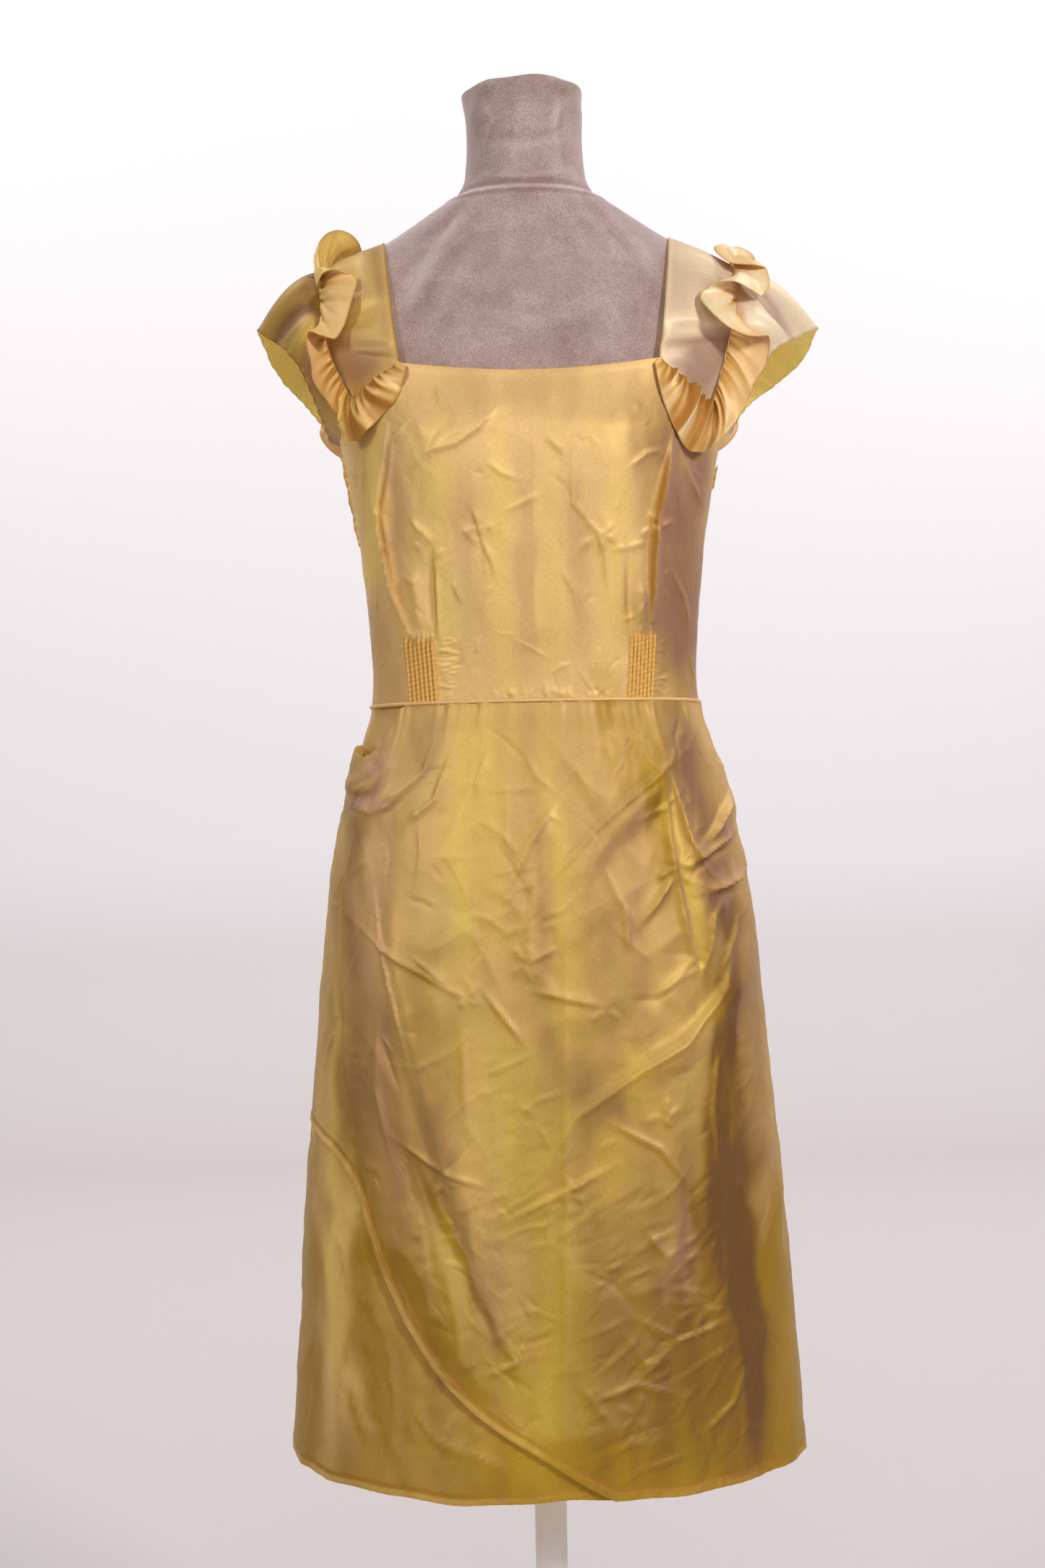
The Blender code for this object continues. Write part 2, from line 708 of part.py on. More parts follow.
def ruffle_seam(count):
    """Even points along the left V seam from the front neck corner to the back one, and the ways out."""
    rows = len(YOKE_ROWS)
    front = [(*YOKE.at(place)[:2],) for place in np.linspace(FRONT_CORNER_ROW, 0, 24)]
    outer = [(*YOKE.at(place)[2:],) for place in np.linspace(0, rows - 1, 130)]
    back = [(*YOKE.at(place)[:2],) for place in np.linspace(rows - 1, BACK_CORNER_ROW, 24)]
    path = np.array(front + outer + back)
    for _ in range(RUFFLE_ROUNDING):
        path[1:-1] = (path[:-2] + 2 * path[1:-1] + path[2:]) / 4
    found = [over_shoulder(x, over) for x, over in path]
    both = np.concatenate([np.array([f[0] for f in found]), np.array([f[1] for f in found])], axis=1)
    lengths = np.linalg.norm(np.diff(both[:, :3], axis=0), axis=1)
    lengths = np.concatenate([[0], np.cumsum(lengths)])
    places = np.linspace(0, lengths[-1], count)
    both = np.stack([np.interp(places, lengths, both[:, k]) for k in range(6)], axis=1)
    points, normals = both[:, :3], unit(both[:, 3:])
    tangents = unit(np.gradient(points, axis=0))
    return points, normals, unit(np.cross(tangents, normals))


def ruffle_frames(side, count):
    """Points of the seam, the way the ruffle lies flat at each, and the way it stands up."""
    points, normals, outs = ruffle_seam(count)
    mirror = np.array([side, 1, 1])
    points, normals, outs = points * mirror, normals * mirror, outs * mirror
    sleeve = sleeve_grid(side)
    flats, ups = [], []
    for point, normal, out in zip(points, normals, outs):
        away = np.linalg.norm(sleeve[0] - point, axis=1)
        near = int(np.argmin(away))
        share = ramp(1 - (away[near] - 4) / 14)
        flat = unit(share * unit(sleeve[2, near] - point) + (1 - share) * out)
        flats.append(flat)
        ups.append(unit(normal - flat * float(normal @ flat)))
    return points, normals, np.array(flats), np.array(ups)


def surface_tree(grids):
    """A search tree over open or closed grids of outer points."""
    points, faces = [], []
    for grid, ring in grids:
        rows, columns = grid.shape[:2]
        shift = len(points)
        points += [tuple(point) for point in grid.reshape(-1, 3)]
        for i in range(rows - 1):
            for j in range(columns if ring else columns - 1):
                k = (j + 1) % columns
                corners = (i * columns + j, i * columns + k, (i + 1) * columns + k, (i + 1) * columns + j)
                faces.append(tuple(shift + corner for corner in corners))
    return BVHTree.FromPolygons(points, faces)


def lifted_clear(point, tree, way, gap):
    """The point, moved along the way out until it stands this far off the surface beside it."""
    for _ in range(3):
        near, normal, _, away = tree.find_nearest(tuple(point))
        near, normal = np.array(near), np.array(normal)
        normal = normal if float(normal @ way) > 0 else -normal
        height = float((point - near) @ normal)
        aside = math.sqrt(max(away * away - height * height, 0))
        if height >= gap or aside > 3:
            break
        point = point + normal * (gap - height)
    return point


def build_ruffles():
    count, rows = 56, 4
    for name, side in (("ruffle_left", 1), ("ruffle_right", -1)):
        points, normals, flats, ups = ruffle_frames(side, count)
        waves = Curve(RUFFLE_WAVES[side])
        tree = surface_tree(((sleeve_grid(side), True), (yoke_grid(side), False)))
        grid = np.zeros((rows, count, 3))
        for j in range(count):
            tilt, width = waves.at(j / (count - 1))
            lean = math.radians(tilt)
            way = flats[j] * math.cos(lean) + ups[j] * math.sin(lean)
            foot = points[j] + normals[j] * (SEAM + SLEEVE_EASE + 0.3 + RUFFLE_WALL * abs(math.cos(lean)))
            gap = RUFFLE_WALL * max(math.cos(lean), 0) + SEAM + RUFFLE_LIFT
            for i in range(rows):
                grid[i, j] = lifted_clear(foot + way * width * i / (rows - 1), tree, ups[j], gap)
        add_cloth(name, grid, "taffeta_light", wall=RUFFLE_WALL, flip=side > 0)


def build_piping():
    """Covered cord all round the waist."""
    count, sides = 56, 6
    rings = np.zeros((sides, count, 3))
    for j in range(count):
        turn = 360 * j / count
        middle = around(DRESS, turn, WAIST_Z)
        out = unit(np.array([middle[0], middle[1], 0]))
        middle = middle + out * 0.4
        for i in range(sides):
            angle = 2 * math.pi * i / sides
            way = out * math.cos(angle) + np.array([0, 0, 1]) * math.sin(angle)
            rings[i, j] = middle + way * PIPING_RADIUS
    faces = []
    for i in range(sides):
        for j in range(count):
            k, n = (j + 1) % count, (i + 1) % sides
            faces.append((i * count + j, i * count + k, n * count + k, n * count + j))
    add_object("waist_piping", rings.reshape(-1, 3), faces, "taffeta")


def hem_z(turn):
    """Height of the skirt's lower edge."""
    return HEM_SIDE_Z - HEM_DIP * math.cos(math.radians(turn)) ** 2


def wrap_bottom(turn):
    """Height of the overskirt's lower edge, free on the right and at the hem on the left."""
    z = 560.0
    for _ in range(24):
        x = around(DRESS, turn, z)[0]
        z = 0.5 * z + 0.5 * FREE_EDGE.at(x)[0]
    return max(z, hem_z(turn))


def wrap_top(turn):
    """Height of the overskirt's upper edge, which dips in a cowl on the right hip."""
    seam = WAIST_Z - PIPING_RADIUS - SEAM
    x = around(DRESS, turn, 980)[0]
    return seam + COWL.at(x)[0]


def ramp(value):
    """Smooth step from 0 to 1."""
    value = min(max(value, 0.0), 1.0)
    return value * value * (3 - 2 * value)


def under_inset(turn, z):
    """How far the underskirt's face lies inside the dress's outline."""
    covered = z - wrap_bottom(turn)
    hidden = ramp(covered / 60) * ramp((WAIST_Z - 8 - z) / 45) * ramp((88 - abs(turn)) / 14)
    shown = ramp((-covered - 3) / 26)
    return UNDER_INSET * (1 - shown) + UNDER_SLACK * hidden


def skirt_point(turn, z, folds, lift=0.0):
    """A point of a skirt panel, moved out by its folds and by a further lift."""
    point = around(DRESS, turn, z)
    out = unit(np.array([point[0] / 1.4, point[1], 0]))
    return point + out * (fold_height(point[0], z, folds) + lift)


def wrap_heights(turn):
    """Heights of the overskirt's points in one column, close together over the hip and at the hem."""
    top, bottom = wrap_top(turn), wrap_bottom(turn)
    shares = list(np.linspace(0, 0.28, 14)) + list(np.linspace(0.28, 0.955, 12)[1:])
    heights = [top + (bottom - top) * share for share in shares]
    return heights + [bottom + HEM_FOLD + 1, bottom + HEM_FOLD, bottom]


def cowl_lift(turn, z):
    """The cowl edge on the right hip stands off the underskirt."""
    beside = (turn - COWL_LIFT["turn"]) / COWL_LIFT["wide"]
    below = (wrap_top(turn) - z) / COWL_LIFT["tall"]
    return COWL_LIFT["out"] * math.exp(-beside * beside - below * below) * ramp((turn + 90) / 8)


def panel_turns(start, count):
    return np.linspace(start + SIDE_SEAM_TURN, start + 180 - SIDE_SEAM_TURN, count + 1)


def add_skirt_panel(name, turns, heights, folds, lift, raised=None):
    """One skirt panel: a column of points at each turn."""
    columns = [[skirt_point(turn, z, folds, lift(turn, z)) for z in heights(turn)] for turn in turns]
    add_cloth(name, np.array(columns).transpose(1, 0, 2), "taffeta", raised=raised, flip=True)


def even_heights(count):
    top = WAIST_Z - PIPING_RADIUS - SEAM
    return lambda turn: [top + (hem_z(turn) - top) * share for share in np.linspace(0, 1, count)]


def build_skirt():
    turns = panel_turns(-90, WAIST_GATHERS["front"])
    rows = len(wrap_heights(0))
    hem = np.zeros((rows, len(turns)))
    hem[-2:] = HEM_RAISE
    add_skirt_panel(
        "skirt_wrap",
        turns,
        wrap_heights,
        SKIRT_FOLDS,
        lambda turn, z: waist_gather(turn, z) + cowl_lift(turn, z),
        hem,
    )
    add_skirt_panel(
        "skirt_under", panel_turns(-90, 18), even_heights(13), UNDER_FOLDS, lambda turn, z: -under_inset(turn, z)
    )
    add_skirt_panel("skirt_back", panel_turns(90, WAIST_GATHERS["back"]), even_heights(12), BACK_FOLDS, waist_gather)


def build_side_flaps():
    """A placket flap over the right side seam and a small tab on the left one."""
    for name, flap in SIDE_FLAPS.items():
        rows = []
        for z in np.linspace(flap["bottom"], flap["top"], flap["rows"]):
            turns = np.linspace(flap["from_turn"], flap["to_turn"], 4)
            row = []
            for turn in turns:
                point = with_bust(around(DRESS, turn, z))
                out = unit(np.array([point[0], point[1] * 1.2, 0]))
                row.append(point + out * (SEAM + FLAP_WALL + 0.2))
            rows.append(row)
        add_cloth(name, rows, "taffeta", wall=FLAP_WALL)


def main():
    clear_scene()
    build_stand()
    build_form()
    build_bodice()
    build_yokes()
    build_sleeves()
    build_ruffles()
    build_piping()
    build_skirt()
    build_side_flaps()


main()
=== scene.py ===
import math
import random

import bpy
import numpy as np
from mathutils import Euler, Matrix
from mathutils.bvhtree import BVHTree


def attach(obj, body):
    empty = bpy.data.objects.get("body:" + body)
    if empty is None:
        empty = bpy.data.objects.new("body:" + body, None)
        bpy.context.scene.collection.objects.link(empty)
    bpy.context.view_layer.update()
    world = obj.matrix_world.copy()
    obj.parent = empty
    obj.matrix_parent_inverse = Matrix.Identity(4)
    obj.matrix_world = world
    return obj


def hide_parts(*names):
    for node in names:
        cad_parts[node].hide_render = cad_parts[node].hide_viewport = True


# A silk taffeta dress on a limbless velvet form. Shapes are worked out in millimetres and made into
# meshes in metres. A turn is an angle round the body, 0 at the front and 90 at the wearer's left.
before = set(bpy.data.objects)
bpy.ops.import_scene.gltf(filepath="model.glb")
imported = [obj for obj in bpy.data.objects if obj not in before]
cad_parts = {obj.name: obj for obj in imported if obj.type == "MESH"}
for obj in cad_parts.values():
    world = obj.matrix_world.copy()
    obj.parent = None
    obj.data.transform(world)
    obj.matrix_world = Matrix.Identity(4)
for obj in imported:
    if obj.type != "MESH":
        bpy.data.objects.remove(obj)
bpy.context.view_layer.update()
millimetre = 0.001
print("frame loaded:", len(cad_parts), "solids")


# Numbers and curves

class Curve:
    # Smooth curves through a table's rows, one for each column after the first, without overshoot
    def __init__(self, rows):
        table = np.array(rows, float)
        self.places, self.values = table[:, 0], table[:, 1:]
        self.steps = np.diff(self.places)
        rises = np.diff(self.values, axis=0) / self.steps[:, None]
        self.slopes = np.zeros_like(self.values)
        sameWay = rises[:-1] * rises[1:] > 0
        sums = np.where(sameWay, rises[:-1] + rises[1:], 1)
        self.slopes[1:-1] = np.where(sameWay, 2 * rises[:-1] * rises[1:] / sums, 0)
        self.slopes[0], self.slopes[-1] = rises[0], rises[-1]

    def at(self, places):
        places = np.clip(np.asarray(places, float), self.places[0], self.places[-1])
        i = np.clip(np.searchsorted(self.places, places) - 1, 0, len(self.steps) - 1)
        step = self.steps[i][..., None]
        t = (places[..., None] - self.places[i][..., None]) / step
        bend = self.slopes[i] * step * t * (1 - t) ** 2 - self.slopes[i + 1] * step * t * t * (1 - t)
        values = self.values[i] * (1 + 2 * t) * (1 - t) ** 2 + self.values[i + 1] * t * t * (3 - 2 * t) + bend
        return np.moveaxis(values, -1, 0)


def ramp(value):
    value = np.clip(value, 0.0, 1.0)
    return value * value * (3 - 2 * value)


def bell(value, wide):
    return np.exp(-((value / wide) ** 2))


def unit(vectors):
    return vectors / np.maximum(np.linalg.norm(vectors, axis=-1, keepdims=True), 1e-9)


def lengthsAlong(points):
    return np.concatenate([[0], np.cumsum(np.linalg.norm(np.diff(points, axis=0), axis=1))])


def resample(points, count):
    lengths = lengthsAlong(points)
    places = np.linspace(0, lengths[-1], count)
    return np.stack([np.interp(places, lengths, points[:, k]) for k in range(points.shape[1])], axis=1)


# Nodes of the finishes

def newLook(name):
    made = bpy.data.materials.new(name)
    made.use_nodes = True
    return made, made.node_tree.nodes["Principled BSDF"]


def setInputs(look, node, inputs):
    # An input is given a value, or the output of another node
    for key, given in inputs.items():
        if isinstance(given, bpy.types.NodeSocket):
            look.node_tree.links.new(given, node.inputs[key])
        else:
            node.inputs[key].default_value = given


def addNode(look, kind, inputs=None, **settings):
    node = look.node_tree.nodes.new("ShaderNode" + kind)
    for key, setting in settings.items():
        setattr(node, key, setting)
    setInputs(look, node, inputs or {})
    return node


def worked(look, first, second, operation="ADD"):
    return addNode(look, "Math", {0: first, 1: second}, operation=operation).outputs[0]


def spread(look, value, given, wanted):
    # Carries the values of one span over to another
    spans = {"From Min": given[0], "From Max": given[1], "To Min": wanted[0], "To Max": wanted[1]}
    return addNode(look, "MapRange", {"Value": value, **spans}).outputs["Result"]


def noise(look, where, scale, detail, roughness=0.5, kind="FBM"):
    sizes = {"Vector": where, "Scale": scale, "Detail": detail, "Roughness": roughness}
    return addNode(look, "TexNoise", sizes, noise_type=kind).outputs["Fac"]


def carried(look, name):
    # A value that the cloth's points carry
    return addNode(look, "Attribute", attribute_name=name).outputs["Fac"]


def shaded(look, value, stops):
    made = addNode(look, "ValToRGB", {"Fac": value})
    while len(made.color_ramp.elements) < len(stops):
        made.color_ramp.elements.new(0.5)
    for element, (place, color) in zip(made.color_ramp.elements, stops):
        element.position = place
        element.color = (*color, 1)
    return made.outputs["Color"]


def mixed(look, share, first, second, clamp=True):
    inputs = {0: share, 6: first, 7: second}
    return addNode(look, "Mix", inputs, data_type="RGBA", clamp_factor=clamp).outputs[2]


def bumped(look, height, strength, distance, under=None):
    inputs = {"Height": height, "Strength": strength, "Distance": distance}
    if under:
        inputs["Normal"] = under
    return addNode(look, "Bump", inputs).outputs["Normal"]


# Camera, floor and light

view = {
    "lens": 50,
    "place": (-0.0111, -1.7, 0.94),
    "roll": -0.0195,
}


def makeCamera():
    data = bpy.data.cameras.new("photoView")
    data.sensor_fit = "VERTICAL"
    data.sensor_height = 36
    data.lens = view["lens"]
    camera = bpy.data.objects.new("photoView", data)
    bpy.context.collection.objects.link(camera)
    camera.location = view["place"]
    turned = Euler((math.radians(90), 0, 0)).to_matrix() @ Euler((0, 0, view["roll"])).to_matrix()
    camera.rotation_euler = turned.to_euler()
    bpy.context.scene.camera = camera


studio = {
    "floorSize": 24,
    "wallBehind": 4.2,
    "wallHigh": 9,
    "sweepRadius": 0.5,
    "sweepSteps": 12,
    "wallColor": (0.86, 0.835, 0.85),
    "floorColor": (0.66, 0.61, 0.61),
    "roughness": 0.9,
    "paleAbove": 0.75,
    "worldColor": (1.0, 0.985, 1.0, 1),
    "worldStrength": 0.15,
    # name: (place, aimed at, size, watts, colour)
    "lamps": {
        "right": ((2.3, -2.5, 2.5), (0, 0, 1.1), (0.7, 0.7), 74, (1, 0.985, 0.965)),
        "left": ((-2.3, -2.3, 2.3), (0, 0, 1.0), (0.7, 0.7), 30, (1, 0.985, 0.96)),
        "front": ((0.0, -3.0, 2.2), (0, 0, 1.05), (1.2, 1.2), 16, (1, 0.97, 0.95)),
        "wallLeft": ((-2.4, 1.6, 4.2), (-1.0, 4.2, 1.6), (2.2, 1.6), 86, (1, 0.975, 0.98)),
        "wallRight": ((2.4, 1.6, 4.2), (1.0, 4.2, 1.6), (2.2, 1.6), 98, (1, 0.985, 0.99)),
    },
}


def makeStudio():
    world = bpy.data.worlds.new("studio")
    bpy.context.scene.world = world
    world.use_nodes = True
    sky = world.node_tree.nodes["Background"]
    sky.inputs["Color"].default_value = studio["worldColor"]
    sky.inputs["Strength"].default_value = studio["worldStrength"]
    deselectAll()
    bpy.ops.mesh.primitive_plane_add(size=studio["floorSize"], location=(0, 0, 0))
    floor = bpy.context.object
    floor.name = "paleFloor"
    bpy.ops.object.mode_set(mode="EDIT")
    bpy.ops.mesh.select_all(action="DESELECT")
    bpy.ops.object.mode_set(mode="OBJECT")
    for edge in floor.data.edges:
        ends = [floor.data.vertices[k].co.y for k in edge.vertices]
        edge.select = min(ends) > 0  # the far edge, which becomes the foot of the wall
    bpy.ops.object.mode_set(mode="EDIT")
    bpy.ops.mesh.extrude_region_move(TRANSFORM_OT_translate={"value": (0, 0, studio["wallHigh"])})
    bpy.ops.object.mode_set(mode="OBJECT")
    for vertex in floor.data.vertices:
        if vertex.co.y > 0:
            vertex.co.y = studio["wallBehind"]
    bend = floor.modifiers.new("sweep", "BEVEL")
    bend.width, bend.segments, bend.limit_method = studio["sweepRadius"], studio["sweepSteps"], "ANGLE"
    bpy.ops.object.modifier_apply(modifier="sweep")
    bpy.ops.object.shade_smooth()
    paint, shader = newLook("paleStudio")
    where = addNode(paint, "TexCoord")
    split = addNode(paint, "SeparateXYZ", {"Vector": where.outputs["Object"]})
    height = spread(paint, split.outputs["Z"], (0, studio["paleAbove"]), (0, 1))
    shades = shaded(paint, height, ((0, studio["floorColor"]), (1, studio["wallColor"])))
    setInputs(paint, shader, {"Base Color": shades, "Roughness": studio["roughness"]})
    floor.data.materials.append(paint)


def makeLamps():
    for name, (place, aim, size, watts, color) in studio["lamps"].items():
        lamp = bpy.data.lights.new(name, "AREA")
        lamp.shape, lamp.size, lamp.size_y = "RECTANGLE", size[0], size[1]
        lamp.energy, lamp.color = watts, color
        holder = bpy.data.objects.new(name, lamp)
        bpy.context.collection.objects.link(holder)
        holder.location = place
        way = np.array(aim) - np.array(place)
        holder.rotation_euler = (
            math.atan2(math.hypot(way[0], way[1]), -way[2]),
            0,
            math.atan2(-way[0], way[1]),
        )


def deselectAll():
    if bpy.context.object and bpy.context.object.mode != "OBJECT":
        bpy.ops.object.mode_set(mode="OBJECT")
    bpy.ops.object.select_all(action="DESELECT")


# The body that the cloth hangs on: the same sections as the solids have

# z, half width, depth in front, depth behind, squareness
formSections = (
    (800, 146, 108, 116, 2.3), (850, 149, 110, 124, 2.3), (900, 144, 106, 118, 2.3),
    (945, 133, 99, 104, 2.3), (1001, 117, 90, 82, 2.3), (1045, 118, 92, 84, 2.3),
    (1095, 123, 98, 91, 2.3), (1145, 130, 107, 98, 2.3), (1195, 138, 112, 102, 2.3),
    (1235, 151, 104, 103, 2.3), (1265, 165, 96, 101, 2.3), (1292, 174, 87, 96, 2.3),
    (1315, 175, 77, 87, 2.3), (1331, 166, 68, 77, 2.3), (1343, 149, 61, 69, 2.3),
    (1352, 127, 57, 63, 2.3), (1361, 109, 54, 58, 2.3), (1372, 92, 51, 54, 2.25), (1386, 71, 49, 51, 2.2),
    (1397, 54, 48, 50, 2.1), (1412, 47, 47, 49, 2), (1440, 45, 45, 47, 2), (1466, 46, 46, 47, 2),
    (1477, 47, 47, 48, 2), (1482, 43, 43, 44, 2),
)
dressSections = (
    (430, 199, 165, 166, 2.3), (470, 196, 163, 163, 2.3), (536, 191.5, 160, 158, 2.3),
    (604, 187, 157, 153, 2.3), (671, 181.5, 152, 148, 2.3), (739, 175, 146, 144, 2.3),
    (807, 169, 138, 140, 2.3), (857, 163.5, 131, 136, 2.3), (891, 158, 125, 131, 2.3),
    (925, 151, 118, 122, 2.3), (950, 145, 113, 114, 2.3), (976, 134, 106, 103, 2.3),
    (1001, 127, 99, 92, 2.3), (1026, 125.5, 100, 91, 2.3), (1060, 127.5, 104, 93, 2.3),
    (1094, 130.5, 110, 97, 2.3), (1128, 134, 116, 102, 2.3), (1162, 140, 121, 106, 2.3),
    (1196, 146, 122, 108, 2.3), (1215, 149.5, 118, 109, 2.3), (1235, 155.5, 112, 109, 2.3),
    (1265, 168, 102.5, 106.5, 2.3), (1292, 177, 93, 101.5, 2.3),
)
# inner x, inner over-shoulder angle, outer x, outer over-shoulder angle
yokeRows = (
    (94, -113.5, 144.5, -112), (97, -103, 148, -102), (99.5, -91, 150.5, -90),
    (102, -76, 152.5, -76), (104.5, -60, 154.5, -60), (106.5, -43, 155.5, -43),
    (108.5, -22, 156.5, -22), (110, 0, 157, 0), (109, 22, 156.5, 22),
    (107.5, 43, 155.5, 43), (105.5, 60, 154.5, 60), (103.5, 76, 152.5, 76),
    (101, 90, 150, 90), (98, 105.5, 146, 104), (108, 111.5, 142.5, 112),
    (119, 119.5, 138.5, 120), (130.5, 129.5, 133, 128),
)
# and the rows of each shoulder's front point, which come first
yokeTips = {
    1: ((127.5, -138.0, 130.0, -136.8), (116.5, -128.5, 136.5, -129.0), (105.5, -120.5, 141.0, -121.0)),
    -1: ((125.0, -132.5, 128.0, -131.2), (115.0, -124.5, 135.0, -125.0), (105.5, -118.8, 140.5, -119.2)),
}
body = {
    "seam": 0.4,
    "waistZ": 1001.5,
    "waistGap": 0.6,  # from the waist seam to the cloth's edge above and below it
    "underarmZ": 1206.0,
    "shoulderCentreZ": 1290.0,
    "neckFrontZ": 1243.0,
    "neckBackZ": 1262.0,
    "frontCornerRow": 3,
    "backCornerRow": 16,
    "sideSeamTurn": 0.03,
    "restGap": 1.95,  # the yoke's face over the form, on top of the shoulder
    "looseGap": 7.5,  # and towards the yoke's points
    "shoulderReach": 160.0,
    "halvings": 36,  # steps that find the form's surface over the shoulder
    "bust": {"x": 62, "z": 1180, "wide": 40, "tall": 44, "out": 7, "fade": 60},
}
formCurve = Curve(formSections)
dressCurve = Curve(dressSections)
yokeCurves = {}
for side, tips in yokeTips.items():
    yokeCurves[side] = Curve([(k, *row) for k, row in enumerate(tips + yokeRows)])
yokeEnd = len(yokeTips[1]) + len(yokeRows) - 1
loosenessCurve = Curve(((20, 0), (55, 0.25), (100, 0.85), (150, 1)))


def aroundBody(sections, turn, z):
    turn, z = np.broadcast_arrays(np.asarray(turn, float), np.asarray(z, float))
    half, front, back, square = sections.at(z)
    side, ahead = np.sin(np.radians(turn)), np.cos(np.radians(turn))
    reach = (np.abs(side) ** square + np.abs(ahead) ** square) ** (1 / square)
    depth = np.where(ahead > 0, front, back)
    return np.stack([half * side / reach, -depth * ahead / reach, z], axis=-1)


def bustOut(x, z):
    bust = body["bust"]
    wide = (np.abs(x) - bust["x"]) / bust["wide"]
    tall = (z - bust["z"]) / bust["tall"]
    return bust["out"] * np.exp(-wide * wide - tall * tall)


def withBust(points):
    points = np.array(points, float)
    ahead = np.clip(-points[..., 1] / body["bust"]["fade"], 0, 1)
    points[..., 1] -= bustOut(points[..., 0], points[..., 2]) * ahead
    return points


def turnAt(x, z, behind=False):
    half, _, _, square = dressCurve.at(np.asarray(z, float))
    side = np.minimum(np.abs(x) / half, 1.0)
    ahead = np.maximum(1 - side**square, 0.0) ** (1 / square)
    turn = np.degrees(np.arctan2(side, ahead))
    turn = 180 - turn if behind else turn
    return np.copysign(turn, x)


def formValue(points):
    x, y, z = points[..., 0], points[..., 1], points[..., 2]
    half, front, back, square = formCurve.at(z)
    inFront = y < 0
    y = np.where(inFront, np.minimum(y + bustOut(x, z), -1e-6), y)
    depth = np.where(inFront, front, back)
    return np.abs(x / half) ** square + np.abs(y / depth) ** square - 1


def formNormal(points):
    step = 0.5
    slopes = [formValue(points + step * axis) - formValue(points - step * axis) for axis in np.eye(3)]
    return unit(np.stack(slopes, axis=-1))


def overShoulder(x, over):
    # A point on the cloth over the shoulder, and the way out of it
    x, over = np.broadcast_arrays(np.asarray(x, float), np.asarray(over, float))
    angle = np.radians(over)
    way = np.stack([np.zeros_like(angle), np.sin(angle), np.cos(angle)], axis=-1)
    centre = np.stack([x, np.zeros_like(x), np.full_like(x, body["shoulderCentreZ"])], axis=-1)
    near, far = np.zeros_like(x), np.full_like(x, body["shoulderReach"])
    for _ in range(body["halvings"]):
        middle = (near + far) / 2
        inside = formValue(centre + middle[..., None] * way) < 0
        near = np.where(inside, middle, near)
        far = np.where(inside, far, middle)
    skin = centre + near[..., None] * way
    out = formNormal(skin)
    ease = body["restGap"] + (body["looseGap"] - body["restGap"]) * loosenessCurve.at(np.abs(over))[0]
    return skin + out * ease[..., None], out


# Creases: rows of height, half width, skew and the (x, z) points of the line. A height below 0 is a
# trough. A skew above 0 makes the side on the right of the line steep, as on a lapped fold. Narrow ones
# are creased to a crisp edge, wide ones are soft.

creasing = {
    "crispBelow": 4.8,  # half width from which a crease is soft
    "crispStrength": 1.45,
    "reach": 3.2,  # in half widths
    "fade": 0.35,  # share of its length over which each end fades
    # share of the height, how far out it goes in half widths, and how hollow its slope is
    "profile": ((0.62, 1.2, 1.3), (0.38, 3.0, 1.6)),
}
# how crooked the edges of crumples run, how high they stand, and how large a rougher area is
facets = {"sway": 0.35, "swaySize": 1.7, "edge": 0.24, "area": 95.0, "areaShift": 3.3}
# how wide and tall the swells are that make the edges of the patches uneven
patchEdges = {"fine": (11.0, 34.0), "broad": (40.0, 90.0)}
noiseCells = 64


def creaseLift(x, z, creases):
    total = np.zeros(np.broadcast(x, z).shape)
    x, z = np.broadcast_arrays(x, z)
    for height, half, skew, points in creases:
        xs, zs = [p[0] for p in points], [p[1] for p in points]
        reach = half * creasing["reach"]
        near = (x > min(xs) - reach) & (x < max(xs) + reach) & (z > min(zs) - reach) & (z < max(zs) + reach)
        if not near.any():
            continue
        px, pz = x[near], z[near]
        nearest = np.full(px.shape, 1e9)
        signed, place = np.zeros(px.shape), np.zeros(px.shape)
        length = 0.0
        for (x0, z0), (x1, z1) in zip(points, points[1:]):
            run = math.hypot(x1 - x0, z1 - z0)
            t = np.clip(((px - x0) * (x1 - x0) + (pz - z0) * (z1 - z0)) / run**2, 0, 1)
            away = np.hypot(px - x0 - t * (x1 - x0), pz - z0 - t * (z1 - z0))
            cross = (x1 - x0) * (pz - z0) - (z1 - z0) * (px - x0)
            closer = away < nearest
            nearest = np.where(closer, away, nearest)
            signed = np.where(closer, np.sign(cross), signed)
            place = np.where(closer, length + t * run, place)
            length += run
        share = place / length
        taper = ramp(share / creasing["fade"]) * ramp((1 - share) / creasing["fade"])
        taper = 0.12 + 0.88 * taper
        wide = half * np.where(signed * skew < 0, 1 - abs(skew), 1 + 0.4 * abs(skew))
        strength = height
        if half < creasing["crispBelow"]:
            profile = 0
            for part, out, hollow in creasing["profile"]:
                profile = profile + part * np.clip(1 - nearest / (out * wide), 0, 1) ** hollow
            strength = height * creasing["crispStrength"]
        else:
            profile = bell(nearest, wide) * ramp((reach - nearest) / half)
        total[near] += strength * taper * profile
    return total


def latticeNoise(u, v, seed):
    # Smooth noise between about -0.7 and 0.7, one swell to each unit
    angles = np.random.RandomState(seed).uniform(0, 2 * math.pi, (noiseCells, noiseCells))
    i, j = np.floor(u).astype(int), np.floor(v).astype(int)
    total = np.zeros(u.shape)
    for di in (0, 1):
        for dj in (0, 1):
            du, dv = u - i - di, v - j - dj
            angle = angles[(i + di) % noiseCells, (j + dj) % noiseCells]
            near = np.clip(1 - du * du, 0, 1) ** 2 * np.clip(1 - dv * dv, 0, 1) ** 2
            total += near * (du * np.cos(angle) + dv * np.sin(angle))
    return total * 1.4


def aroundWay(base):
    # Distance round the cloth from the middle of the front or the back, near enough for small creases
    deep = np.abs(base[..., 1])
    return np.sign(base[..., 0]) * (np.abs(base[..., 0]) + 0.75 * (deep.max(axis=1, keepdims=True) - deep))


